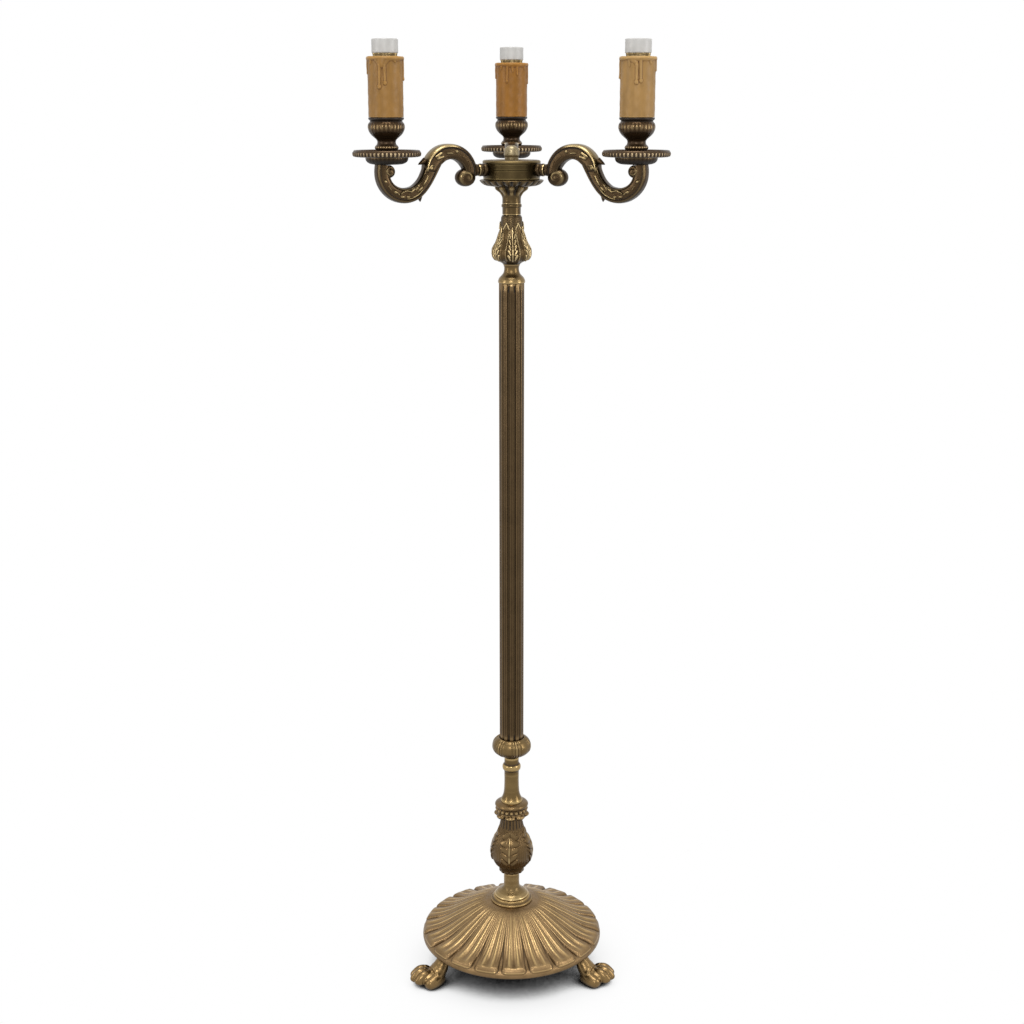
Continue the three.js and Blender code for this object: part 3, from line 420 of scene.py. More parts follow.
def zinc_steel():
    """Dull zinc-plated steel with faint cloudy patches."""
    material, tree, shader = plain_material("zinc_steel", (0.4, 0.4, 0.41), 0.42, 1.0)
    where = tree.nodes.new("ShaderNodeTexCoord").outputs["Object"]
    cloud = ranged(tree, noise(tree, where, 220.0), 0.3, 0.7)
    tree.links.new(mixed(tree, cloud, (0.3, 0.3, 0.31), (0.5, 0.5, 0.5)), shader.inputs["Base Color"])
    tree.links.new(ranged(tree, noise(tree, where, 500.0), 0.2, 0.8, 0.3, 0.55), shader.inputs["Roughness"])
    return material


def moulded(name, dark, light, low, high):
    """Moulded plastic or porcelain with a faint change of tone and of gloss."""
    material, tree, shader = plain_material(name, dark, high)
    where = tree.nodes.new("ShaderNodeTexCoord").outputs["Object"]
    cloud = ranged(tree, noise(tree, where, 60.0), 0.3, 0.7)
    tree.links.new(mixed(tree, cloud, dark, light), shader.inputs["Base Color"])
    tree.links.new(ranged(tree, noise(tree, where, 400.0), 0.2, 0.8, low, high), shader.inputs["Roughness"])
    return material


def candle_wax(name, shade, body, light):
    """Ochre sleeve with wax drips: painted shade in the folds under the drips and a painted highlight where they stand
    out, with a slow mottle and faint vertical smears."""
    material, tree, shader = plain_material(name, body, 0.42)
    patina_and_shade = tree.nodes.new("ShaderNodeGroup")
    patina_and_shade.node_tree = PATINA_AND_SHADE
    patina_and_shade.inputs["Recess Width"].default_value = 0.3
    patina_and_shade.inputs["Ridge Width"].default_value = 0.4
    out = patina_and_shade.outputs
    where = tree.nodes.new("ShaderNodeTexCoord").outputs["Object"]
    stretch = add_node(tree, "ShaderNodeMapping", Vector=where)
    stretch.inputs["Scale"].default_value = (1.0, 1.0, 0.22)
    smear = ranged(tree, noise(tree, stretch.outputs["Vector"], 90.0, 4.0), 0.3, 0.72)
    tone = mixed(tree, smear, tuple(0.86 * c for c in body), tuple(min(1, 1.12 * c) for c in body))
    # Painted highlight where the drips stand out, then painted shade in the folds under them.
    tone = mixed(tree, maths(tree, "MULTIPLY", out["Ridge"], 0.75), tone, light)
    tone = mixed(tree, maths(tree, "MULTIPLY", out["Recess"], 0.85), tone, shade)
    tree.links.new(tone, shader.inputs["Base Color"])
    tree.links.new(ranged(tree, out["Grain"], 0.0, 1.0, 0.36, 0.5), shader.inputs["Roughness"])
    bumps = add_node(tree, "ShaderNodeBump", Height=out["Height"])
    bumps.inputs["Strength"].default_value = 0.08
    bumps.inputs["Distance"].default_value = 0.0002
    tree.links.new(bumps.outputs["Normal"], shader.inputs["Normal"])
    shader.inputs["Specular IOR Level"].default_value = 0.3
    return material


ZINC = zinc_steel()
PORCELAIN = moulded("white_porcelain", shade(194, 192, 188), shade(204, 202, 198), 0.3, 0.45)
PHENOLIC = moulded("brown_phenolic", shade(44, 35, 29), shade(58, 47, 38), 0.3, 0.45)
BLOCK = moulded("block_plastic", (0.62, 0.61, 0.58), (0.7, 0.69, 0.66), 0.4, 0.55)
WAX = {
    "left": candle_wax("wax_left", shade(92, 56, 24), shade(150, 110, 54), shade(186, 142, 78)),
    "right": candle_wax("wax_right", shade(98, 62, 30), shade(163, 126, 73), shade(198, 160, 100)),
    "back": candle_wax("wax_back", shade(84, 44, 12), shade(146, 98, 34), shade(178, 126, 56)),
}

# Hidden pieces keep their CAD solids and take a finish

HIDDEN = {
    "steel": ZINC,
    "block": BLOCK,
    "holder": PHENOLIC,
    "pale_brass": DRUM_BRASS,
    "cap": PORCELAIN,
    "aged_brass": CAST_BRASS,
    "dark_brass": CAST_BRASS,
    "candle": WAX["left"],
}
for part in frame["record"]["subparts"]:
    solid = frame["nodes"][part["node"]]
    solid.data.materials.clear()
    solid.data.materials.append(HIDDEN[part["material_slot"]])


# Ornament tools


def strokes(x, y, lines):
    """Raised strokes on a surface that is rolled flat. Each is (x0, y0, x1, y1, width at the start, width at
    the end, height): round in section, highest on its line, and where two cross the higher one shows."""
    best = np.zeros(np.broadcast(x, y).shape)
    for x0, y0, x1, y1, w0, w1, high in lines:
        dx, dy = x1 - x0, y1 - y0
        t = np.clip(((x - x0) * dx + (y - y0) * dy) / (dx * dx + dy * dy + 1e-9), 0, 1)
        d = np.hypot(x - x0 - t * dx, y - y0 - t * dy) / (w0 + (w1 - w0) * t)
        best = np.maximum(best, high * np.sqrt(np.clip(1 - d * d, 0, 1)))
    return best


def chain(points, w0, w1, high):
    """Strokes from point to point, their width running from w0 to w1."""
    n = len(points) - 1
    return [(*points[i], *points[i + 1], w0 + (w1 - w0) * i / n, w0 + (w1 - w0) * (i + 1) / n, high)
            for i in range(n)]


def sector(angle, count, centre):
    """Angle from the middle of the nearest of count equal sectors, the first of them centred at centre."""
    pitch = TURN / count
    return (angle - centre + pitch / 2) % pitch - pitch / 2


def ribs(angle, count, centre, sharp=1.0):
    """Rounded ribs round a piece: 1 on each rib's crest and 0 in the groove; above 1 sharp narrows the ribs."""
    return (0.5 + 0.5 * np.cos(count * (angle - centre))) ** sharp


def profile(node, *runs, step=0.8):
    """An outline whose heights count from the foot of a CAD node."""
    line = outline(*runs, step=step)
    line[:, 1] += heights(node)[0]
    return line


def bored(line, columns, relief=None, bore=5.7):
    """A turned skin closed down a straight bore: rings for a loop."""
    skin = turned(line, columns, relief)
    a = angles(columns)
    ring = np.stack([bore * np.cos(a), bore * np.sin(a), 0 * a], -1)
    top, foot = ring.copy(), ring.copy()
    top[:, 2], foot[:, 2] = line[-1, 1], line[0, 1]
    return np.concatenate([skin, top[None], foot[None]])


def painted(line, columns, paint):
    """Relief values for a bored piece from paint(angle, height, radius), its bore painted dark as shade in the hole."""
    value = paint(angles(columns)[None, :], line[:, 1:], line[:, :1]) + np.zeros((len(line), columns))
    return np.concatenate([value, np.full((2, columns), 0.3)])


def column_piece(name, node, line, columns, material, slot, relief=None, paint=None, **look):
    """A piece of the column, which stands for its CAD node."""
    mesh = closed_mesh(name, [bored(line, columns, relief)], loop=True)
    if paint:
        look["wear_and_light"] = painted(line, columns, paint)
    return add_piece(name, mesh, material, "lamp", slot, node, **look)


# The base: a cone of spoon-shaped lobes that run over the edge of a steep rounded rim

LOBES = 20
LOBE_END = 152.0
LOBE_CORNER = 8.0
LOBE_PHASE = FRONT + BASE_TURN + math.radians(0.3)
RIM_TOP = 11.9


def ground_line():
    """The cone's (radius, height) line from the rim's foot up to the column, closer in its points near the rim."""
    line = outline([(148.4, 0), (149.5, 1.0), (150, 3.2), (149.8, 5.8), (148.6, 8.4), (146.4, 10.4), (143.2, RIM_TOP),
        (138.5, 13.0), (132, 14.8), (122, 18.6), (110, 25.0), (95, 34.2), (80, 43.3), (65, 52.2),
         (50, 59.6), (42, 62.8), (36, 64.0)], [(36, 64.0), (20, 64.0)], step=0.4)
    run = np.concatenate([[0], np.cumsum(np.linalg.norm(np.diff(line, axis=0), axis=1))])
    places = np.concatenate([np.arange(0, 58, 0.95), np.linspace(58.5, run[-1], 40)])
    return np.stack([np.interp(places, run, line[:, k]) for k in (0, 1)], -1) + [0, heights("base_plate")[0]]


def on_lobe(angle, height, radius):
    """Where a point lies on its lobe: reach from the axis, measured on over the rolled edge; across, 0 on the
    lobe's middle and 1 between two lobes; and how far in from the lobe's outline, an oblong with round corners."""
    reach = radius + np.clip(heights("base_plate")[0] + RIM_TOP - height, 0, None) + 0 * angle
    lobe = (angle - LOBE_PHASE) * LOBES / TURN
    across = 2 * np.abs(lobe - np.round(lobe))
    half = np.minimum(radius, 150) * math.pi / LOBES
    side = across * half - (half * (1 - 0.13 * ease(80, 134, radius)) - LOBE_CORNER)
    end = reach - (LOBE_END - LOBE_CORNER)
    inside = LOBE_CORNER - np.hypot(np.maximum(side, 0), np.maximum(end, 0)) - np.minimum(np.maximum(side, end), 0)
    return reach, across, inside


def broad_ridges(reach, across):
    """The two broad ridges of a lobe, which die away before its round end."""
    return bump(across, 0.33, 0.13) * ease(44, 62, reach) * ease(147, 126, reach)


def fine_lines(angle, reach):
    """Eight fine lines along each lobe."""
    return ribs((angle - LOBE_PHASE) * LOBES, 8, TURN / 16) * ease(40, 50, reach) * ease(144, 110, reach)


def base_lobes(angle, height, radius):
    """How far the casting stands over its ground: each lobe rises more and more towards the rim, bulges at its
    round end and drops over it to a thin lip."""
    reach, across, inside = on_lobe(angle, height, radius)
    rounded = np.sqrt(np.clip(1 - (1 - np.clip(inside / (2.6 + 3.4 * ease(132, 148, reach)), 0, 1)) ** 2, 0, 1))
    stand = (0.3 + 1.3 * ease(60, 110, reach) + 3.3 * ease(100, 141, reach) - 3.2 * ease(141, 152, reach)) * rounded
    lip = 0.6 * ease(147.5, 150.5, reach) * bump(inside, 0.9, 0.8)
    dish = -0.8 * ease(112, 128, reach) * ease(149, 134, reach) * ease(0.34, 0.08, across)
    return stand + lip + dish + 1.1 * broad_ridges(reach, across) + 0.34 * fine_lines(angle, reach)


def base_wear_and_light(angle, height, radius):
    """Gold on the ridges and the fine lines, rubbed wear with painted highlight; a painted highlight along the lips of
    the lobes' ends and on their round tops; dark in a thin line round each lobe and between the fine lines, and painted
    shade along the casting's lower edge."""
    reach, across, inside = on_lobe(angle, height, radius)
    lines = ribs((angle - LOBE_PHASE) * LOBES, 8, TURN / 16) - 0.5
    value = 0.5 + 0.22 * broad_ridges(reach, across) + 0.27 * lines * ease(40, 50, reach) * ease(144, 110, reach)
    # Painted highlight along the lips of the lobes' ends.
    value = value + 0.32 * ease(147.5, 150.5, reach) * bump(inside, 0.9, 0.9)
    # Painted highlight on the round ends of the lobes.
    value = value + 0.06 * bump(reach, 141.0, 5.0) * ease(0.8, 0.5, across)
    value = value - 0.24 * bump(inside, -0.4, 0.9) * ease(70, 110, reach)
    # Painted shade along the casting's lower edge, near the floor.
    return value - 0.3 * ease(3.2, 0.4, height - heights("base_plate")[0]) + 0 * angle


def base_casting():
    """The lobed top, the rim's wall and the hollow underside, as one closed ring of rings."""
    line = ground_line()
    top = turned(line, LOBES * 44, base_lobes)
    a = angles(LOBES * 44)[None, :]
    under = np.array([(20, 58), (25, 57), (45, 49.5), (70, 35.5), (95, 21.5), (120, 9.5), (134, 5), (141.6, 2.0),
                      (142.5, 0.0)])[:, None]
    under = np.stack([under[..., 0] * np.cos(a), under[..., 0] * np.sin(a),
                      under[..., 1] + heights("base_plate")[0] + 0 * a], -1)
    mesh = closed_mesh("base_casting", [np.concatenate([top, under])], loop=True)
    # The underside's rows are painted dark, as shade under the base.
    wear_and_light = np.concatenate([base_wear_and_light(a, line[:, 1:], line[:, :1]), np.full(under.shape[:2], 0.3)])
    return add_piece("base_casting", mesh, BASE_BRASS, "lamp", "aged_brass", "base_plate", wear_and_light=wear_and_light)


base_casting()


# The column


def lower_stem():
    """Collar, flared foot, pear, petals, spindle and knop."""
    column_piece("rounded_collar", "base_collar", profile("base_collar", [
        (33.6, 0), (34.6, 0.7), (34.7, 2.0), (34.0, 3.2)], [(34.0, 3.2), (32.6, 3.9), (31.6, 4.3)], [
        (31.6, 4.3), (31.2, 5.6), (30.8, 7.0), (29.9, 8.2), (28.8, 8.7)], step=0.5),
        160, COLLAR_BRASS, "aged_brass", rounds=6, depth=0.35)
    column_piece("flared_foot", "stem_foot", profile("stem_foot", [(27.2, 0), (28.2, 0.6), (28.3, 1.6), (27.8, 2.4)], [
        (27.8, 2.4), (26.4, 3.8), (24.2, 5.8), (20.9, 8.0), (17.6, 10.3), (15.1, 13.0), (13.6, 16.4), (13.0, 20.5),
        (12.9, 29.0), (12.9, 36.0), (13.3, 41.7)]), 144, FOOT_BRASS, "aged_brass", rounds=10)

    def pear_leaves(a, z, r):
        """Four broad acanthus leaves over fine upright flutes. Each has a rib and plump lobes on both sides,
        slanting up low down and drooping near the tip, parted by deep grooves, and a bud above. Dark slots with
        pale bars between them lie at the neck, and small scallops at the foot."""
        x = np.abs(sector(a, 4, FRONT - 0.12)) * r
        slant = 0.75 - 1.5 * ease(196, 236, z)
        cell = (z - slant * x - 0.02 * x * x - 183.0) / 15.0
        lobe = np.sqrt(np.clip(1 - (2 * (cell - np.round(cell))) ** 2, 0, 1))
        wide = 15.5 * ease(176, 200, z) * ease(250, 232, z) + 2.0 * bump(z, 222, 9)
        leaf = ease(-0.9, 1.3, wide * (0.5 + 0.5 * lobe) - x)
        plump = leaf * (0.3 + 1.9 * lobe * ease(0.4, 5.0, x))
        rib = strokes(x, z, [(0, 184, 0, 210, 1.8, 1.4, 1.9), (0, 210, 0, 242, 1.4, 1.0, 1.8), (0, 241, 0, 247, 2.4, 2.6, 1.5),
                             (0, 247, 0, 255, 2.6, 0.6, 1.4), (0, 173, 0, 182, 1.4, 2.4, 1.5)])
        flutes = 0.5 * (ribs(a, 56, FRONT, 0.8) - 0.6) * ease(172, 180, z) * ease(252, 244, z) * (1 - leaf)
        slots = -1.1 * (1 - ribs(a, 20, FRONT, 0.7)) * ease(243, 249, z)
        scallop = 1.1 * (ribs(a, 14, FRONT, 0.6) - 0.4) * bump(z, 167.0, 3.4)
        return np.maximum(rib, plump) + flutes + slots + scallop - 0.6

    def pear_wear_and_light(a, z, r):
        """Gold on the leaves' ribs, the middle of their lobes lighter as a painted highlight, dark round the lobes and
        in the slots, and the foot darker as painted shade.
        """
        x = np.abs(sector(a, 4, FRONT - 0.12)) * r
        slant = 0.75 - 1.5 * ease(196, 236, z)
        cell = (z - slant * x - 0.02 * x * x - 183.0) / 15.0
        lobe = np.clip(1 - (2 * (cell - np.round(cell))) ** 2, 0, 1)
        wide = 15.5 * ease(176, 200, z) * ease(250, 232, z) + 2.0 * bump(z, 222, 9)
        gap = wide * (0.5 + 0.5 * np.sqrt(lobe)) - x
        # Painted highlight in the middle of each lobe.
        value = 0.49 + 0.06 * ease(0.0, 5.0, gap) * ease(0.2, 1.0, lobe) - 0.1 * bump(gap, -0.4, 1.0) * ease(178, 186, z)
        value = value - 0.1 * ease(0.0, 1.5, gap) * ease(0.3, 0.0, lobe) + 0.2 * bump(x, 0, 0.8) * ease(184, 190, z) * ease(240, 230, z)
        value = value - 0.2 * (1 - ribs(a, 20, FRONT, 0.7)) * ease(243, 249, z)
        # Painted shade on the pear's foot, below the leaves.
        return value - 0.08 * ease(180, 168, z) - 0.06 * (1 - ribs(a, 56, FRONT, 0.8)) * ease(0.0, -2.0, gap)

    line = profile("pear_baluster", [(13.2, 0), (16.4, 0.6), (20.2, 2.2), (21.0, 4.0), (21.4, 7.0), (23.6, 11.4),
        (28.0, 16.4), (31.4, 23.0), (33.9, 30.5), (34.7, 37.0), (34.2, 44.5), (32.2, 53.0), (29.4, 60.5),
        (26.2, 66.5), (23.0, 73.5), (20.8, 80.0), (19.4, 87.0), (18.7, 93.0), (18.4, 98.7)], step=0.56)
    column_piece("acanthus_pear", "pear_baluster", line, 560, PEAR_BRASS, "aged_brass", pear_leaves,
                 pear_wear_and_light, crease=70)

    def petals(a, z, r):
        """Eight curled petals whose lips hang lowest at their middles, under a plain disc ringed by twenty
        large pearls."""
        h = z - foot
        off = np.abs(sector(a, 8, FRONT - 0.105)) / (TURN / 16)
        skirt = ease(2.2, 3.8, h) * ease(11.6, 9.0, h) * ease(20.5, 23.5, r)
        petal = -4.4 * skirt * off**3 + 0.9 * skirt * bump(off, 0.0, 0.5) + 0.6 * skirt * bump(off, 0.78, 0.14)
        around = sector(a, 20, FRONT) * 26
        pearl = np.sqrt(np.clip(1 - (around / 3.8) ** 2 - ((h - 16.0) / 3.8) ** 2, 0, 1))
        return petal + 3.3 * pearl

    def petals_wear_and_light(a, z, r):
        """Gold pearls, a painted highlight, and gold petal lips; dark between them, and painted shade in the band under
        the disc.
        """
        h = z - foot
        off = np.abs(sector(a, 8, FRONT - 0.105)) / (TURN / 16)
        around = sector(a, 20, FRONT) * 26
        pearl = np.sqrt(np.clip(1 - (around / 4.2) ** 2 - ((h - 16.0) / 4.2) ** 2, 0, 1))
        # Painted shade between the pearls under the disc, and a painted highlight on the pearls.
        value = 0.5 - 0.2 * ease(11.0, 12.5, h) * ease(20.5, 19.5, h) * (1 - pearl) + 0.14 * ease(0.5, 1, pearl)
        return value + 0.12 * bump(h, 7.0, 1.2) * ease(0.9, 0.5, off) - 0.25 * bump(off, 1.0, 0.16) * ease(11, 9, h)

    foot = heights("petal_collar")[0]
    line = profile("petal_collar", [(18.4, 0.2), (21.0, 1.2), (24.4, 3.0), (27.0, 4.8)], [
        (27.0, 4.8), (28.2, 6.6), (27.4, 8.4), (25.2, 10.2), (23.8, 12.0)], [
        (23.8, 12.0), (23.6, 14.0), (23.8, 17.0), (24.2, 20.0)], [
        (24.2, 20.0), (25.8, 20.8), (27.2, 22.6), (27.4, 24.8), (26.0, 26.8), (22.4, 28.6), (18.2, 29.7)], step=0.5)
    column_piece("petal_ring", "petal_collar", line, 440, PETAL_BRASS, "aged_brass", petals, petals_wear_and_light,
                 crease=70)

    column_piece("spindle_neck", "spindle", profile("spindle", [
        (18.2, 0), (18.1, 1.2), (17.6, 3.0), (16.2, 5.8), (14.6, 9.4), (13.3, 14.0), (12.5, 20.0), (12.1, 29.0),
        (11.9, 39.0), (12.0, 46.0), (12.6, 54.6), (13.0, 55.6)], [
        (13.0, 55.6), (14.3, 56.6), (15.0, 59.0), (15.0, 62.2), (14.3, 64.4), (13.0, 65.8), (12.2, 66.8)], [
        (12.2, 66.8), (11.9, 70.0), (12.0, 77.7)]), 128, POLISHED_BRASS, "aged_brass", rounds=10)

    def melon(a, z, r):
        """Six broad lobes, each parted from the next by two narrow ridges with a groove between them."""
        off = np.abs(sector(a, 6, FRONT + 0.28)) * 32
        wide = ease(19.5, 23.5, r)
        grooves = bump(off, 2.6, 1.1) + 0.7 * bump(off, 7.6, 1.2)
        return wide * (-0.8 * grooves + 0.3 * bump(off, 0.0, 1.2) - 0.2)

    def melon_wear_and_light(a, z, r):
        # Gold on the parting ridges, rubbed wear with painted highlight, dark in the grooves, and painted shade where
        # the ball narrows to its ends.
        off = np.abs(sector(a, 6, FRONT + 0.28)) * 32
        lines = bump(off, 0.0, 1.0) * 0.14 - 0.16 * bump(off, 2.6, 0.9) - 0.08 * bump(off, 7.6, 1.1) + 0.04 * bump(off, 5, 1.2)
        return 0.54 + ease(19.5, 24.5, r) * lines - 0.16 * ease(22.0, 19.0, r)

    column_piece("melon_ball", "melon_knop", profile("melon_knop", [
        (11.4, 0.4), (13.4, 1.6), (17.4, 3.6), (23.4, 6.2), (28.2, 9.8), (31.3, 14.4), (32.1, 19.4), (31.2, 24.8),
        (28.6, 29.8), (25.2, 33.2), (21.6, 35.0), (20.3, 35.0)], [(20.3, 35.0), (19.8, 34.4), (19.8, 31.2)],
        step=0.6), 420, KNOP_BRASS, "aged_brass", melon, melon_wear_and_light, crease=60)


def fluted_shaft():
    """The tube: twelve ribs parted by round dark flutes."""
    low, high = heights("fluted_tube")

    def flutes(a, z, r):
        off = np.abs(sector(a, 12, FRONT + math.pi / 12)) / (TURN / 24)
        return -1.9 * np.sqrt(np.clip(1 - (off / 0.4) ** 2, 0, 1)) + 0.2 * bump(off, 0.54, 0.1)

    z = np.concatenate([[low], np.linspace(low + 0.4, high - 0.4, 160), [high]])
    line = np.stack([np.where((z <= low) | (z >= high), 19.0, 19.3), z], -1)
    skin = turned(line, 384, flutes)
    a = angles(384)
    inner = np.stack([16.4 * np.cos(a), 16.4 * np.sin(a), 0 * a], -1)
    top, foot = inner.copy(), inner.copy()
    top[:, 2], foot[:, 2] = high, low
    mesh = closed_mesh("fluted_shaft", [np.concatenate([skin, top[None], foot[None]])], loop=True)
    add_piece("fluted_shaft", mesh, TUBE_BRASS, "lamp", "dark_brass", "fluted_tube", rounds=4, depth=0.18)


def upper_stem():
    """Cap, leafed baluster, neck and calyx."""
    column_piece("shaft_cap", "tube_cap", profile("tube_cap", [(16.0, 0), (16.0, 7.9)], [(16.0, 7.9), (19.9, 8.0)], [
        (19.9, 8.0), (20.6, 8.8), (20.6, 11.4), (20.2, 13.2), (19.4, 15.0), (17.6, 17.4), (15.2, 19.8), (13.0, 22.6),
        (11.8, 25.6), (11.3, 29.0), (11.4, 32.0), (12.2, 34.6), (13.2, 36.6)]), 144, KNOP_BRASS, "aged_brass",
        rounds=10, depth=0.6)

    leaves = [(0, 1182.5, 0, 1204, 1.3, 1.2, 1.7), (0, 1204, 0, 1222, 1.2, 0.8, 1.6), (0, 1223, 0, 1232, 1.6, 0.4, 1.6)]
    for z, share in ((1183.5, 1.0), (1191.0, 0.85), (1198.6, 0.66), (1206.4, 0.48)):
        leaves.append((2.4 + 1.4 * share, z, 2.4 + 4.4 * share, z + 6.0, 0.9 + 0.5 * share, 1.1 + 1.1 * share, 1.9))
    leaves += [(3.2, 1215.5, 4.2, 1222, 1.2, 0.6, 1.4), (4.6, 1228.4, 10.6, 1240.6, 1.1, 1.2, 1.9)]

    def palmettes(a, z, r):
        """Six palmettes of a rib and four pairs of plump leaflets, tall plain leaves with raised edges between
        them, a V over each palmette and stippled ground up to the neck."""
        x = np.abs(sector(a, 6, FRONT + 0.07)) * r
        half = r * math.pi / 6
        tall = ease(1180, 1184, z) * ease(1236, 1214, z)
        plain = 1.5 * tall * ease(5.6, 4.4, half - x) * (1 - 0.5 * bump(half - x, 0, 2.0))
        edge = 1.0 * tall * bump(half - x, 4.4, 0.9) + 0.5 * tall * bump(half - x, 0, 0.7)
        band = ease(1226, 1230, z) * ease(1249, 1246, z)
        stipple = 0.16 * band * np.cos(34 * a + 1.3 * np.cos(2.1 * z)) * np.cos(2.3 * z + 5 * np.cos(6 * a))
        crown = 0.9 * bump(z, 1180.5, 2.2) * (ribs(a, 12, FRONT + 0.07, 0.7) - 0.3)
        return np.maximum(strokes(x, z, leaves), plain) + edge + stipple + crown - 0.8 * ease(1180, 1186, z)

    def palmettes_wear_and_light(a, z, r):
        """Pale leaflets, a painted highlight, and ribs on brown leaves, one gold edge each side of them, dark ground
        and stipple, and painted shade under the crown.
        """
        x = np.abs(sector(a, 6, FRONT + 0.07)) * r
        half = r * math.pi / 6
        tall = ease(1181, 1185, z) * ease(1236, 1222, z)
        pads = ease(0.5, 1.5, strokes(x, z, leaves))
        ground = tall * ease(4.6, 5.6, half - x)
        band = ease(1226, 1230, z) * ease(1250, 1247, z) * (1 - pads)
        dots = ease(-0.1, 0.6, np.cos(34 * a + 1.3 * np.cos(2.1 * z)) * np.cos(2.3 * z + 5 * np.cos(6 * a)))
        # Painted highlight on the leaflets.
        value = 0.48 + 0.24 * pads - 0.08 * ground * (1 - pads) + 0.16 * tall * bump(half - x, 4.6, 0.7)
        # Painted shade below the crown, where the baluster narrows to its foot.
        return value + band * (0.22 * dots - 0.12) + 0.1 * bump(z, 1180.5, 2.2) - 0.2 * ease(1179, 1177, z)

    line = profile("acanthus_baluster", [(13.4, 0), (14.8, 1.2), (18.6, 3.8), (24.4, 6.8), (27.6, 10.0), (28.9, 14.0),
        (29.0, 18.6), (28.4, 22.8), (27.0, 25.6), (24.2, 30.4), (22.4, 34.4), (21.0, 38.4), (20.0, 43.0),
        (19.0, 48.0), (18.0, 53.6), (17.3, 60.0), (16.8, 66.0), (16.4, 70.4)], [
        (16.4, 70.4), (15.6, 71.6), (15.2, 73.0), (14.4, 73.4)], step=0.5)
    column_piece("palmette_baluster", "acanthus_baluster", line, 440, BALUSTER_BRASS, "aged_brass", palmettes,
                 palmettes_wear_and_light, crease=70)

    column_piece("ringed_neck", "upper_neck", profile("upper_neck", [(14.0, 0), (14.0, 10.6)], [
        (14.0, 10.6), (15.1, 11.4), (15.3, 13.2), (15.0, 15.0), (14.0, 16.0)], [(14.0, 16.0), (14.0, 17.0)]),
        128, CALYX_BRASS, "aged_brass", rounds=6, depth=5.0)

    foot = heights("leaf_calyx")[0]

    def calyx(a, z, r):
        """Twelve leaves flare up the stem with deep slots between them; the flange is cut into round scallops."""
        h = z - foot
        slots = -3.6 * ease(8, 17, h) * ease(27.0, 24.5, h) * ease(0.8, 0.3, ribs(a, 9, FRONT, 0.5))
        vein = 0.5 * ease(9, 16, h) * ease(25.6, 22, h) * bump(np.abs(sector(a, 9, FRONT)) * r, 0, 1.2)
        lobe = np.abs(np.sin(12 * (a - FRONT)))
        under = ease(24.0, 25.5, h) * ease(28, 35, r) * ease(33.0, 31.4, h)
        return slots + vein + 2.2 * under * (lobe**0.6 - 0.8)

    def calyx_wear_and_shade(a, z, r):
        """Dark slots and gold leaf ribs up the stem, gold tips along the scalloped flange, and the flange's underside
        darker, most between the scallops, as painted shade.
        """
        h = z - foot
        leaf = ribs(a, 9, FRONT, 0.5)
        flare = ease(8, 14, h) * ease(27.0, 25.0, h)
        lobe = np.abs(np.sin(12 * (a - FRONT)))
        flange = ease(24.5, 25.5, h) * ease(33.8, 32.6, h)
        value = 0.5 + flare * (0.16 * ease(0.75, 0.95, leaf) - 0.34 * ease(0.6, 0.2, leaf))
        # Painted shade on the flange's underside, under the drum.
        return value + flange * (0.16 * ease(0.6, 0.95, lobe) * ease(40, 45, r) - 0.34 * ease(0.5, 0.1, lobe) - 0.12)

    line = profile("leaf_calyx", [(14.05, 0), (14.0, 6.0), (14.6, 9.4), (15.9, 12.0), (17.7, 15.0), (21.0, 17.8),
        (24.2, 20.4), (25.2, 22.4)], [(25.2, 22.4), (24.6, 23.4), (27.5, 24.2), (33.0, 25.0), (38.0, 26.0),
        (42.5, 27.8), (45.8, 30.4), (47.4, 32.0)], [(47.4, 32.0), (48.2, 32.6), (48.0, 33.6), (46.8, 34.2), (43.0, 34.3)], [
        (43.0, 34.3), (30.0, 34.3)], step=0.5)
    column_piece("calyx_leaves", "leaf_calyx", line, 432, CALYX_BRASS, "dark_brass", calyx, calyx_wear_and_shade,
                 crease=60)


def hub():
    """Drum with its scribed seam, the lid and the finial."""
    foot = heights("hub_body")[0]
    low, high = heights("hub_body")
    outer = profile("hub_body", [(41.6, 0.0), (42.3, 0.5), (42.5, 1.2)], [(42.5, 1.2), (42.5, 13.9)], [
        (42.5, 13.9), (41.9, 14.3), (42.5, 14.7)], [(42.5, 14.7), (42.5, 22.7)], [(42.5, 22.7), (42.0, 23.3)],
        [(42.0, 23.3), (39.5, 23.3)], [(39.5, 23.3), (39.5, 3.0)], step=0.9)
    column_piece("hub_drum", "hub_body", outer, 192, DRUM_BRASS, "pale_brass", rounds=3, depth=0.5)
    column_piece("hub_cover", "hub_lid", profile("hub_lid", [(39.0, 0), (39.0, 1.6)], [(39.0, 1.6), (42.8, 1.6)], [
        (42.8, 1.6), (43.4, 2.2), (43.4, 4.4), (42.8, 5.4), (41.4, 6.1)], [(41.4, 6.1), (30.0, 6.3)]), 192,
        LID_BRASS, "pale_brass", rounds=8, depth=0.4)
    low, high = heights("finial_nut")
    line = profile("finial_nut", [(9.8, 0), (10.1, 2.0), (10.3, 4.4)], [
        (10.3, 4.4), (11.2, 6.0), (11.5, 8.6), (11.2, 12.0), (10.2, 15.6), (8.2, 18.6), (5.2, 20.5), (2.4, 21.1),
        (0.05, 21.2)], step=0.6)
    mesh = closed_mesh("finial_dome", [turned(line, 128)])
    add_piece("finial_dome", mesh, DOME_BRASS, "lamp", "pale_brass", "finial_nut", rounds=8)


lower_stem()
fluted_shaft()
upper_stem()
hub()


# The arms


def arm_frame(grid, side):
    """Moves points from an arm's own plane (x away from the column) to its place round the column."""
    return rotated(grid, SIDES[side])


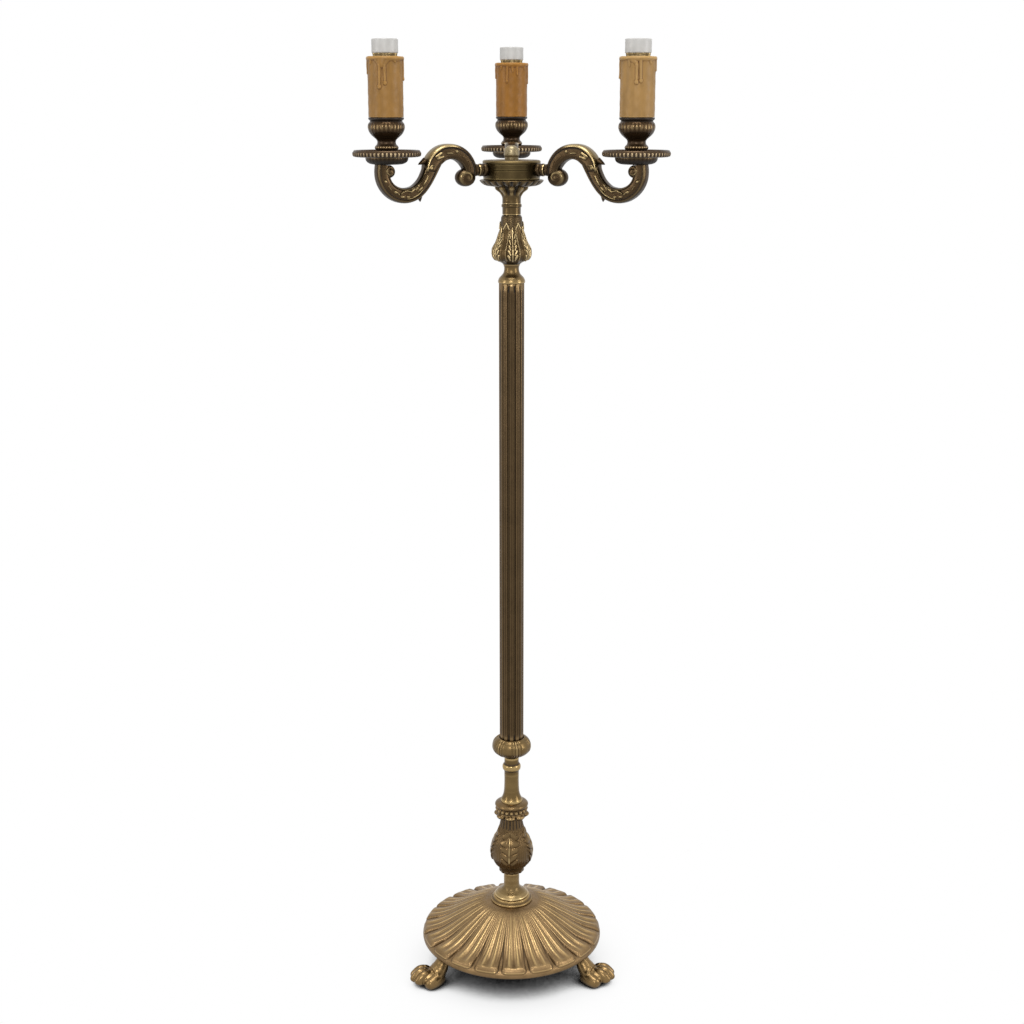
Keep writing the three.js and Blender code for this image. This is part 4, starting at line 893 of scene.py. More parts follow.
ARM_CARVING = [(96.5, 1343.4, 97.2, 1343.6, 2.0, 2.0, 2.5), (122.5, 1341.4, 132.0, 1336.6, 2.1, 1.5, 2.6),
               (119.5, 1336.5, 128.5, 1334.0, 1.8, 2.3, 1.7), (103.5, 1341.0, 113.5, 1341.4, 1.2, 1.2, 1.3),
               (138.4, 1320.2, 139.0, 1319.8, 2.0, 2.0, 2.8)]
ARM_CARVING += chain([(147.5, 1322), (146, 1315.5), (141, 1311.6), (135.5, 1312.5)], 1.5, 1.5, 2.4)
ARM_CARVING += chain([(133.5, 1323.5), (137, 1324.4), (141, 1322.6), (142.4, 1319)], 0.9, 0.9, 1.8)
ARM_CARVING += chain([(76.5, 1312), (76.0, 1321), (80.5, 1330.5), (88, 1336.5)], 1.4, 1.0, 0.7)
BRANCH_CARVING = chain([(149, 1312), (153, 1305), (158.5, 1297.5), (164.5, 1290)], 1.3, 1.0, 2.2)
BRANCH_CARVING += chain([(144.5, 1309), (149, 1301), (154.5, 1293.5), (160.5, 1287.5)], 1.4, 1.1, 2.0)
BRANCH_CARVING += chain([(154.5, 1289), (161.5, 1282.6), (169.5, 1278.8), (177.5, 1277.4)], 1.1, 0.9, 2.4)
BRANCH_CARVING += chain([(172.5, 1288), (179.5, 1289.2), (186, 1287), (190.5, 1283.6), (196.5, 1289)], 1.1, 0.9, 2.0)
BRANCH_CARVING += [(164.5, 1294.6, 172.0, 1287.6, 2.5, 1.3, 2.8), (176.0, 1280.6, 177.2, 1280.4, 1.9, 1.9, 2.5),
                   (183.0, 1281.0, 187.0, 1280.6, 1.2, 1.6, 1.8), (196.8, 1287.4, 197.6, 1288.2, 1.9, 1.9, 2.4),
                   (212.0, 1302.4, 212.6, 1303.6, 2.1, 2.1, 2.6), (204.0, 1292.0, 208.0, 1297.0, 1.0, 0.9, 1.3)]


def branch(keys, outer, rims, carving, ends, lips, depth=2.0, columns=128):
    """A scrolled bar in the arm's plane. keys are (x, z, half width, half depth); its section is a rounded
    oblong. Each side face is sunk by depth between the rims, shares of the half width measured from the middle
    (inner, outer), and carries the carving; lips gives how high the inner and the outer rim stand up, the
    outer one from the first arch on; each end is rounded over its length in ends."""
    line = curve_through(np.asarray(keys, float), 0.75)
    x, z, wide, deep = line.T
    along = np.gradient(line[:, :2], axis=0)
    along /= np.linalg.norm(along, axis=1, keepdims=True)
    run = np.concatenate([[0], np.cumsum(np.linalg.norm(np.diff(line[:, :2], axis=0), axis=1))])
    taper = np.ones_like(run)
    for gap, length in ((run, ends[0]), (run[-1] - run, ends[1])):
        taper = np.minimum(taper, np.sqrt(np.clip(1 - (1 - np.clip(gap / length, 0.002, 1)) ** 2, 0, 1)))
    a = angles(columns)
    c, s = np.cos(a), np.sin(a)
    c, s = np.sign(c) * np.abs(c) ** 0.66, np.sign(s) * np.abs(s) ** 0.5
    w = (wide * taper)[:, None] * c
    px = x[:, None] - outer * along[:, 1:] * w
    pz = z[:, None] + outer * along[:, :1] * w
    share = w / wide[:, None]
    inner_rim, outer_rim = rims
    sunk = ease(inner_rim, inner_rim + 0.14, share) * ease(outer_rim, outer_rim - 0.14, share)
    lip = lips[1] * bump(share, outer_rim + 0.2, 0.17) * ease(84, 112, px) + lips[0] * bump(share, inner_rim - 0.03, 0.08)
    side = ease(0.55, 0.9, np.abs(s))[None, :] * ease(0.35, 0.9, taper)[:, None]
    carved = np.minimum(strokes(px, pz, carving), depth + 0.3)
    y = (deep * taper)[:, None] * s - np.sign(s) * side * (depth * sunk - lip - np.where(sunk > 0.02, carved, 0))
    groove = bump(share, outer_rim - 0.1, 0.1) + 0.6 * bump(share, inner_rim + 0.1, 0.08)
    # Painted highlight along the outer rim's band; the grooves dark and the carving gold.
    wear_and_light = 0.5 + side * (0.19 * lips[1] * bump(share, outer_rim + 0.2, 0.15) * ease(84, 112, px) - 0.26 * groove * (carved < 0.3)
                           + 0.16 * ease(0.4, 1.6, carved) * sunk + 0.1 * bump(share, inner_rim - 0.04, 0.08))
    # Painted highlight on the outer side towards the top of the arch.
    wear_and_light = wear_and_light + 0.1 * ease(0.6, 1.0, outer * share) * ease(1326, 1338, pz) * ease(84, 100, px)
    return np.stack([px, y, pz], -1), wear_and_light


def volute(x, z, radius, half, turn, pitch, dome=1.0, stretch=1.0):
    """A thick disc on its edge in the arm's plane, with a spiral ridge and a round eye on each face; stretch
    makes it wider than it is high."""
    u = np.linspace(-math.pi / 2, math.pi / 2, 75)[:, None]
    a = angles(128)[None, :]
    rho = radius * np.abs(np.cos(u)) ** 0.62 + 0 * a
    rho = np.maximum(rho, 0.02)
    spiral = ribs(turn * a - TURN * rho / pitch, 1, 0.0, 1.3) * ease(2.6, 4.8, rho) * ease(radius, 0.8 * radius, rho)
    eye = dome * np.sqrt(np.clip(1 - (rho / 3.6) ** 2, 0, 1))
    y = half * np.sign(u) * np.abs(np.sin(u)) ** 0.8 + np.sign(u) * (1.1 * spiral - 0.8 + eye) * ease(0.5, 0.9, np.abs(np.sin(u)))
    wear_and_light = 0.46 + 0.14 * spiral + 0.08 * ease(3.4, 2.0, rho) * dome
    return np.stack([x + stretch * rho * np.cos(a), y, z + rho * np.sin(a)], -1), wear_and_light


def leaf_tip(x0, z0, x1, z1, wide, half):
    """A pointed tip that swells from its root and closes to a point."""
    t = np.linspace(0, 1, 26)
    path = np.stack([x0 + (x1 - x0) * t, 0 * t, z0 + (z1 - z0) * t], -1)
    long = math.hypot(x1 - x0, z1 - z0)
    across = np.repeat([[-(z1 - z0) / long, 0, (x1 - x0) / long]], len(t), 0)
    up = np.repeat([[0, 1.0, 0]], len(t), 0)
    size = np.sqrt(np.clip(t / 0.12, 0.01, 1)) * np.clip(1 - t, 0.004, 1) ** 0.75
    grid = path[:, None, :] + (wide * size)[:, None, None] * np.cos(angles(40))[None, :, None] * across[:, None, :]
    grid = grid + (half * size)[:, None, None] * np.sin(angles(40))[None, :, None] * up[:, None, :]
    return grid, np.full(grid.shape[:2], 0.48)


def arm_grids():
    """The scrolled arm in its own plane, as (grid, relief values) parts: an upper branch that ends in a tongue
    over the lower one, a volute at each inner curl, and two pointed leaf tips."""
    upper = branch(
        [(74.0, 1305, 10.0, 9.6), (72.6, 1312, 10.0, 10.2), (73.4, 1321, 10.0, 10.4), (78.4, 1330, 10.5, 10.5),
         (86.8, 1337.9, 10.8, 10.5), (97, 1342.4, 10.9, 10.5), (107, 1343.4, 11.2, 10.5), (117.6, 1341.4, 12.0, 10.5),
         (127.2, 1335.6, 12.4, 10.6), (134.2, 1328, 11.8, 10.7), (138.4, 1318.6, 10.0, 10.7), (139.4, 1311, 8.2, 10.5)],
        1, (-0.82, 0.56), ARM_CARVING, (8, 8.5), (0.2, 1.6))
    lower = branch(
        [(122, 1336, 8.6, 8.0), (130, 1329, 10.6, 8.6), (136.6, 1319.5, 11.4, 9.0), (141.2, 1310.5, 10.7, 9.2),
         (147, 1301, 10.1, 9.4), (154.3, 1292.6, 10.2, 9.6), (163.2, 1286, 10.5, 9.8), (173, 1282.8, 10.9, 9.9),
         (183.5, 1282.3, 10.9, 9.9), (193.5, 1284.8, 10.6, 9.9), (202.6, 1290.2, 10.2, 9.8), (209.4, 1298, 10.0, 9.7),
         (213.2, 1307, 10.1, 9.5), (214.2, 1316, 10.1, 9.3), (213.4, 1326.4, 9.8, 9.2)],
        -1, (-0.76, 0.64), BRANCH_CARVING, (9, 0.5), (0.2, 0.5))
    parts = [upper, lower,
             volute(79.2, 1305.8, 13.0, 10.2, -1, 9.5, 1.0, 1.2), volute(204.2, 1316.6, 9.2, 8.8, 1, 6.0, 0.8),
             leaf_tip(143.5, 1331.5, 156.5, 1325.6, 5.6, 6.0), leaf_tip(155.0, 1283, 153.8, 1272.4, 5.4, 5.4)]
    return parts


def pin_grid(line, columns=80):
    """A (radius, distance) line turned about the arm's axis, which runs away from the column."""
    grid = turned(line, columns)
    axis = 1316.2 + heights("arm_ferrule_back")[0] - 1305.9
    return np.stack([grid[..., 2], grid[..., 0], grid[..., 1] + axis], -1)


def arms():
    ferrule = outline([(6.6, 42.3), (8.2, 43.4)], [(8.2, 43.4), (9.3, 44.6), (9.8, 47.0), (9.3, 49.4), (8.2, 50.6)], [
        (8.2, 50.6), (9.0, 51.6), (9.4, 53.6), (9.0, 55.8), (8.3, 57.6)], step=0.5)
    pad = outline([(7.8, 58.1), (8.6, 59.6), (8.8, 62.0), (8.4, 68.0)], step=1.0)
    pad = pin_grid(pad)
    parts = arm_grids() + [(pad, np.full(pad.shape[:2], 0.45))]
    grids = [grid for grid, _ in parts]
    wear_and_light = np.concatenate([np.append(value.ravel(), [0.5, 0.5]) for _, value in parts])
    for side in SIDES:
        body = [arm_frame(g, side) for g in grids]
        add_piece(f"scrolled_arm_{side}", closed_mesh(f"scrolled_arm_{side}", body), ARM_BRASS, "lamp", "aged_brass",
                  f"arm_{side}", crease=75, wear_and_light=wear_and_light)
        ring = arm_frame(pin_grid(ferrule), side)
        add_piece(f"ringed_ferrule_{side}", closed_mesh(f"ringed_ferrule_{side}", [ring]), ARM_BRASS, "lamp",
                  "aged_brass", f"arm_ferrule_{side}", rounds=6, depth=2.2)


arms()


# The candle lights


def light_place(side):
    """Where a candle's axis stands, and the direction from it to the photograph's camera."""
    x, y = ARM_REACH * math.cos(SIDES[side]), ARM_REACH * math.sin(SIDES[side])
    return (x, y + COLUMN_Y, 0.0), math.atan2(-2387.7 - y, -x)


def light_piece(name, side, node, line, columns, material, slot, relief=None, body="lamp", bore=5.7, paint=None,
                **look):
    """A turned piece on a candle's axis, which stands for its CAD node."""
    grid = bored(line, columns, relief, bore)
    mesh = closed_mesh(f"{name}_{side}", [grid], loop=True, move=light_place(side)[0])
    if paint:
        look["wear_and_light"] = painted(line, columns, paint)
    nodes = [node] if node else []
    return add_piece(f"{name}_{side}", mesh, material, body, slot, *nodes, **look)


DRIPS = {
    "left": chain([(-13, -3), (-9.5, -8), (-8.4, -12)], 3.4, 2.2, 1.5) + chain([(4, -3), (0, -8), (-1.2, -12)], 3.2, 1.9, 1.5)
    + [(-5, -1, -5, -10.0, 9.0, 4.6, 2.0), (-8.3, -11, -8.8, -39, 2.4, 1.7, 2.0), (-8.8, -39.5, -8.8, -40.8, 2.8, 2.8, 2.5),
       (-1.3, -11, -0.6, -34, 2.2, 1.6, 1.9), (-0.6, -34.6, -0.6, -35.6, 2.6, 2.6, 2.4), (13, -3, 15, -6.5, 3.2, 1.6, 1.3),
       (36, -2, 36.4, -28, 2.2, 1.7, 1.7), (36.4, -28.5, 36.4, -29.8, 2.4, 2.4, 2.2), (-37, -2, -36.6, -22, 2.0, 1.5, 1.4),
       (-24, -3, -24.5, -9, 3.0, 1.6, 1.3), (62, -2, 61, -24, 2.2, 1.5, 1.6), (-62, -2, -62, -16, 2.2, 1.5, 1.5)],
    "right": chain([(-9, -3), (-3, -7), (-1.5, -11)], 3.4, 2.1, 1.5)
    + [(-1.6, -10, -1.8, -33, 2.3, 1.6, 1.9), (-1.8, -33.5, -1.8, -34.6, 2.7, 2.7, 2.4), (3.6, -3, 4.4, -31, 2.4, 1.6, 1.8),
       (4.4, -31.5, 4.4, -32.6, 2.5, 2.5, 2.2), (-13, -3, -12.6, -12, 2.6, 1.4, 1.4), (-36, -2, -36.4, -26, 2.2, 1.6, 1.7),
       (-36.4, -26.6, -36.4, -27.6, 2.3, 2.3, 2.1), (36, -2, 36.2, -18, 2.2, 1.6, 1.6), (19, -3, 19.5, -8, 3.4, 1.8, 1.3),
       (63, -2, 62, -28, 2.2, 1.5, 1.6), (-60, -2, -61, -18, 2.2, 1.5, 1.5)],
    "back": [(-7, -3, -7.4, -26, 2.0, 1.3, 1.6), (-7.4, -26.5, -7.4, -27.6, 2.1, 2.1, 2.0), (1, -3, 1.6, -12, 2.6, 1.4, 1.4),
             (9, -3, 9.2, -17, 2.3, 1.4, 1.5), (-36, -2, -36.4, -22, 2.2, 1.6, 1.6), (36, -2, 36.2, -30, 2.2, 1.6, 1.7),
             (-18, -3, -18, -8, 3.2, 1.8, 1.3), (23, -3, 23, -8, 3.2, 1.8, 1.3), (61, -2, 61, -20, 2.2, 1.5, 1.5),
             (-62, -2, -62, -26, 2.2, 1.5, 1.6)],
}


def candle_light(side):
    """Bowl, pan, cup, wax sleeve and lampholder of one light."""
    place, facing = light_place(side)

    def bowl_gadroons(a, z, r):
        return 0.2 * ease(12, 20, r) * (ribs(a, 32, facing, 0.6) - 0.5)

    light_piece("gadroon_bowl", side, f"under_bowl_{side}", profile(f"under_bowl_{side}", [
        (12.0, 0.0), (14.4, 0.1), (19.4, 0.3), (24.0, 1.2), (27.6, 3.0), (29.8, 5.6), (30.6, 8.4), (30.6, 10.0)], [
        (30.6, 10.0), (28.0, 10.0)], step=0.6), 288, BOWL_BRASS, "dark_brass", bowl_gadroons, rounds=6, depth=0.5)

    pan_foot = heights(f"drip_pan_{side}")[0]

    def pan_beads(a, z, r):
        """Fifty-two upright beads round the rim, under its plain roll."""
        h = z - pan_foot
        band = ease(0.6, 1.8, h) * ease(7.2, 6.2, h) * ease(46.3, 47.3, r)
        return band * (1.2 * ribs(a, 52, facing, 0.55) - 0.7)

    def pan_wear_and_light(a, z, r):
        """Gold beads, brightest on the side that faces the camera as a painted highlight, dark between them, and the
        underside darker as painted shade.
        """
        h = z - pan_foot
        band = ease(0.6, 1.8, h) * ease(7.2, 6.2, h) * ease(46.3, 47.3, r)
        # Painted highlight: the beads are made brighter on the side that faces the camera.
        painted_highlight = 0.75 + 0.25 * np.cos(a - facing - 0.1) ** 8
        return 0.46 + band * (0.36 * painted_highlight * ease(0.5, 0.9, ribs(a, 52, facing, 0.55)) - 0.12) - 0.1 * ease(2.0, 1.0, h)

    light_piece("beaded_pan", side, f"drip_pan_{side}", profile(f"drip_pan_{side}", [
        (8.0, 0.0), (38.0, 0.0)], [(38.0, 0.0), (43.0, 0.2), (46.2, 0.7), (47.6, 1.4)], [
        (47.6, 1.4), (48.5, 3.0), (48.8, 5.0), (48.5, 7.2), (47.6, 8.8)], [
        (47.6, 8.8), (46.8, 9.7), (45.9, 9.8), (45.0, 9.2), (43.9, 7.4), (42.4, 5.2), (40.0, 3.6), (36.0, 2.9),
        (28.0, 2.7), (12.0, 2.6)], step=0.7), 520, PAN_BRASS, "aged_brass", pan_beads, paint=pan_wear_and_light)

    cup_foot = heights(f"candle_cup_{side}")[0]

    def cup_ribs(a, z, r):
        """Small gadroons on the foot's flare and low upright ribs on the bulge, deepest on its shoulder."""
        h = z - cup_foot
        flare = 0.5 * bump(h, 10.5, 2.2) * (ribs(a, 24, facing, 0.7) - 0.4)
        bulge = (0.28 + 0.4 * ease(34, 39, h)) * ease(23, 31, h) * ease(46.0, 43.0, h) * (ribs(a, 26, facing, 0.5) - 0.6)
        return flare + bulge

    def cup_wear_and_light(a, z, r):
        """Gold on the foot's gadroons and the shoulder's ribs, with a painted highlight in a band round the shoulder,
        dark in the neck and round the rim, and darker at the waist.
        """
        h = z - cup_foot
        lines = ribs(a, 26, facing, 0.5) - 0.6
        # Painted highlight in a band round the shoulder.
        value = 0.48 + 0.16 * lines * ease(24, 32, h) * ease(45.0, 42.0, h) + 0.12 * bump(h, 38.5, 3.5)
        value = value + bump(h, 10.5, 2.2) * (0.3 * (ribs(a, 24, facing, 0.7) - 0.4) + 0.1)
        return value - 0.2 * ease(44.5, 47.5, h) - 0.1 * bump(h, 18, 4)

    light_piece("ribbed_cup", side, f"candle_cup_{side}", profile(f"candle_cup_{side}", [
        (8.2, 0), (8.4, 4.6)], [(8.4, 4.6), (11.6, 5.4), (15.6, 7.6), (16.8, 10.0), (16.0, 12.6), (13.8, 15.4),
        (13.2, 18.4), (14.2, 21.2), (17.4, 24.2), (21.2, 27.6), (24.4, 32.0), (26.1, 37.0), (26.2, 40.2),
        (25.2, 43.8), (23.4, 46.4), (22.7, 47.6)], [(22.7, 47.6), (24.6, 49.0), (25.4, 50.6), (25.2, 52.0)], [
        (25.2, 52.0), (22.4, 52.0)], [(22.4, 52.0), (22.4, 55.5)], [(22.4, 55.5), (20.6, 55.5)], [
        (20.6, 55.5), (20.0, 46.0)], step=0.6), 364, CUP_BRASS, "dark_brass", cup_ribs, paint=cup_wear_and_light)

    low, high = heights(f"candle_sleeve_{side}")

    def drips(a, z, r):
        """A roll of wax round the top with a wavy edge, and the runs that hang from it."""
        turn = (a - facing + math.pi) % TURN - math.pi
        h = z - high
        outside = ease(23.6, 24.6, r)
        edge = 3.6 + 0.9 * np.sin(3 * turn + 1) + 0.6 * np.sin(7 * turn + 2.4)
        roll = 1.9 * np.sqrt(np.clip(1 - np.clip((-h - 1.4) / edge, -1, 1) ** 2, 0, 1)) * ease(-7.5, -3.5, h)
        ripple = 0.1 * np.sin(5 * turn + 0.35 * h) + 0.06 * np.sin(11 * turn - 0.5 * h)
        return outside * (np.maximum(roll, strokes(turn * 25, h, DRIPS[side])) + ripple)

    light_piece("wax_sleeve", side, f"candle_sleeve_{side}", profile(f"candle_sleeve_{side}", [
        (22.9, 0.0), (24.5, 0.0)], [(24.5, 0.0), (25.0, 0.5)], [(25.0, 0.5), (25.0, 78.0), (25.0, 80.6)], [
        (25.0, 80.6), (24.6, 81.7), (23.4, 82.0), (21.8, 81.6), (20.8, 80.4)], [(20.8, 80.4), (20.8, 79.0)],
        step=0.62), 300, WAX[side], "candle", drips, body=f"sleeve_{side}", bore=22.9, crease=70, rounds=8, depth=0.5)

    body_foot, body_top = heights(f"holder_body_{side}")
    light_piece("holder_tube", side, f"holder_body_{side}", profile(f"holder_body_{side}", [
        (9.0, 0), (9.5, 0.6), (9.5, 2.8)], [(9.5, 2.8), (13.0, 4.8), (15.6, 6.6), (16.0, 8.4)], [
        (16.0, 8.4), (16.0, 47.4)], [(16.0, 47.4), (15.4, 48.0)], [(15.4, 48.0), (14.6, 48.0)],
        [(14.6, 48.0), (14.6, 20.2)], step=1.2), 96, PHENOLIC, "holder", rounds=3)

    def knurl(a, z, r):
        return 0.5 * ribs(a, 60, facing, 0.8) * ease(body_top - 4.6, body_top - 4.0, z) * ease(16.0, 16.6, r)

    line = outline([(16.2, body_top - 6.4), (16.9, body_top - 5.8), (17.1, body_top - 5.0)], [
        (17.1, body_top - 5.0), (16.8, body_top - 4.2), (16.8, body_top - 1.2)], [
        (16.8, body_top - 1.2), (17.3, body_top - 0.8), (17.2, body_top - 0.2), (16.4, body_top - 0.1)], step=0.4)
    light_piece("holder_ring", side, None, line, 240, RING_BRASS, "pale_brass", knurl, bore=16.1, rounds=4)

    def thread(a, z, r):
        return 0.45 * np.cos(TURN * z / 3.6 - a) * ease(13.0, 13.4, r)

    low, high = heights(f"screw_shell_{side}")
    inner = profile(f"screw_shell_{side}", [(1.0, 0.0), (12.9, 0.0)], [(12.9, 0.0), (12.9, 44.0)], [
        (12.9, 44.0), (12.3, 44.0)], [(12.3, 44.0), (12.3, 1.0)], step=0.9)
    grid = np.concatenate([turned(inner, 96, lambda a, z, r: 0.4 * np.cos(TURN * z / 3.6 - a) * ease(12.0, 12.2, r)
                                  * ease(12.6, 12.4, r) * ease(low + 2, low + 4, z))])
    mesh = closed_mesh(f"thread_shell_{side}", [grid], move=place)
    add_piece(f"thread_shell_{side}", mesh, RING_BRASS, "lamp", "pale_brass", f"screw_shell_{side}", rounds=3)

    light_piece("porcelain_cap", side, f"holder_cap_{side}", profile(f"holder_cap_{side}", [
        (17.6, 0.0), (18.5, 0.25), (18.8, 0.9)], [(18.8, 0.9), (18.8, 18.2)], [
        (18.8, 18.2), (18.5, 19.1), (17.7, 19.5)], [(17.7, 19.5), (14.8, 19.5)], [(14.8, 19.5), (14.1, 19.1),
        (13.9, 18.4)], step=0.7), 144, PORCELAIN, "cap", bore=13.9, rounds=3)


for side in SIDES:
    candle_light(side)


# The feet


def fused(grids, voxel, soften):
    """Closed grids melted into one skin: a voxel remesh, then rounds of smoothing. Returns points (mm) and faces."""
    mesh = closed_mesh("melt", grids, move=(0, 0, 0))
    shape = bpy.data.objects.new("melt", mesh)
    bpy.context.scene.collection.objects.link(shape)
    remesh = shape.modifiers.new("melt", "REMESH")
    remesh.mode = "VOXEL"
    remesh.voxel_size = voxel * MM
    whole = shape.evaluated_get(bpy.context.evaluated_depsgraph_get()).to_mesh()
    points = np.empty(len(whole.vertices) * 3)
    whole.vertices.foreach_get("co", points)
    points = points.reshape(-1, 3) / MM
    corners = np.empty(len(whole.loops), int)
    whole.loops.foreach_get("vertex_index", corners)
    totals = np.empty(len(whole.polygons), int)
    whole.polygons.foreach_get("loop_total", totals)
    edges = np.empty(len(whole.edges) * 2, int)
    whole.edges.foreach_get("vertices", edges)
    one = np.concatenate([edges[0::2], edges[1::2]])
    other = np.concatenate([edges[1::2], edges[0::2]])
    n = len(points)
    count = np.bincount(one, minlength=n)[:, None]
    for _ in range(soften):
        total = np.stack([np.bincount(one, weights=points[other, k], minlength=n) for k in range(3)], -1)
        points = 0.5 * points + 0.5 * total / count
    bpy.data.objects.remove(shape)
    bpy.data.meshes.remove(mesh)
    return points, corners, totals


def mesh_from(name, points, corners, totals):
    mesh = bpy.data.meshes.new(name)
    mesh.vertices.add(len(points))
    mesh.vertices.foreach_set("co", (points * MM).astype(np.float32).ravel())
    mesh.loops.add(len(corners))
    mesh.loops.foreach_set("vertex_index", corners.astype(np.int32))
    mesh.polygons.add(len(totals))
    mesh.polygons.foreach_set("loop_start", np.concatenate([[0], np.cumsum(totals)[:-1]]).astype(np.int32))
    mesh.polygons.foreach_set("loop_total", totals.astype(np.int32))
    mesh.update(calc_edges=True)
    return mesh


def limb(keys, columns=36, crest=0.0):
    """A round bar through (x, y, z, half width, half height) stations, its ends rounded; crest raises a
    narrow ridge along its top, as a share of its height."""
    line = curve_through(np.asarray(keys, float), 1.0)
    path = line[:, :3]
    along = np.gradient(path, axis=0)
    along /= np.linalg.norm(along, axis=1, keepdims=True)
    across = np.cross(along, [0, 0, 1.0])
    across /= np.linalg.norm(across, axis=1, keepdims=True)
    up = np.cross(across, along)
    run = np.concatenate([[0], np.cumsum(np.linalg.norm(np.diff(path, axis=0), axis=1))])
    near = np.clip(np.minimum(run, run[-1] - run) / line[:, 4].min(), 0.002, 1)
    taper = np.sqrt(1 - (1 - near) ** 2)[:, None, None]
    a = angles(columns)
    tall = np.sin(a) + crest * bump(a, math.pi / 2, 0.3)
    grid = path[:, None, :] + taper * line[:, 3, None, None] * np.cos(a)[None, :, None] * across[:, None, :]
    return grid + taper * line[:, 4, None, None] * tall[None, :, None] * up[:, None, :]


# Each toe of the left paw: how far across it lies, how far out its tip, its half width and its knuckle's height
TOES = [(-19.5, 184.5, 7.0, 18.5), (-8.2, 190.5, 7.0, 20.0), (3.2, 188.5, 6.6, 19.5)]


def paw_grids():
    """A lion's paw: x runs out from the column, y across and z up from the floor. A leg comes down from a lug
    under the base into a deep palm, three thick toes bulge from it and end in balls on the floor, and the
    fourth is one broad ball down its side."""
    parts = [limb([(119, 1, 44, 10.5, 5.5), (127, 1, 41, 11, 8), (134, 2, 35, 12, 10.5), (140, 3, 27, 14, 12.5),
                   (147, 4, 20, 16, 13), (156, 4, 17, 18.5, 12.5)]),
             limb([(101, 0, 45.2, 7.4, 2.5), (112, 0, 45.2, 7.6, 2.5), (128, 0, 45.2, 8, 2.5)]),
             limb([(132, 1, 11, 10, 11), (144, 2, 12.5, 15.5, 12.5), (156, 1, 13.0, 18.5, 13.0),
                   (169, -1, 11.5, 18.5, 11.5), (176, -2, 9.5, 16, 9.5)]),
             limb([(137, 9, 17, 7, 11), (145, 11, 13.5, 9.5, 12.5), (154, 13.2, 12, 11, 12), (163, 14.6, 10.6, 11.4, 10.6),
                   (171, 15.2, 9, 10, 9), (175, 15.2, 8, 8.6, 8)])]
    for y, tip, half, high in TOES:
        parts.append(limb([
            (tip - 34, 0.7 * y, high - 3.0, 0.8 * half, 5.5), (tip - 26, 0.85 * y, high + 0.8, 1.0 * half, 6.6),
            (tip - 18, 0.96 * y, high + 0.2, 1.08 * half, 7.8), (tip - 12, y, high - 4.6, 1.12 * half, 8.6),
            (tip - 8.6, 1.03 * y, 9.8, 1.1 * half, 8.6), (tip - 7.6, 1.03 * y, 6.6, half, 7.4)], crest=0.08))
    return parts


def paw_folds(x, y):
    """Skin folded in a V behind each knuckle."""
    lines = []
    for y0, tip, half, _ in TOES:
        lines += chain([(tip - 35, 0.6 * y0 - 4.4), (tip - 27, 0.8 * y0), (tip - 35, 0.6 * y0 + 4.4)], 2.4, 2.4, 0.5)
    return strokes(x, y, lines)


def feet():
    points, corners, totals = fused(paw_grids(), 0.62, 10)
    x, y, z = points.T
    mesh = mesh_from("paw", points, corners, totals)
    normal = np.empty(len(points) * 3)
    mesh.vertices.foreach_get("normal", normal)
    normal = normal.reshape(-1, 3)
    bpy.data.meshes.remove(mesh)
    push = ease(0.1, 0.6, normal[:, 2]) * paw_folds(x, y) * ease(133, 139, x)
    points = points + normal * push[:, None]
    points[:, 2] = np.where(points[:, 0] > 132, np.maximum(points[:, 2], 0), points[:, 2])
    points[:, 2] = np.minimum(points[:, 2], heights("paw_foot_back")[1])
    for side, angle, flip in (("back", 90, 1), ("left", 210, 1), ("right", 330, -1)):
        own = points * [1, flip, 1]
        order = corners if flip > 0 else corners.reshape(-1, 4)[:, ::-1].ravel()
        placed = rotated(own, math.radians(angle) + BASE_TURN) + [0, COLUMN_Y, 0]
        mesh = mesh_from(f"lion_paw_{side}", placed, order, totals)
        add_piece(f"lion_paw_{side}", mesh, PAW_BRASS, "lamp", "aged_brass", f"paw_foot_{side}", crease=75, rounds=24,
                  depth=3.0)


feet()


# The floor, the light and the camera


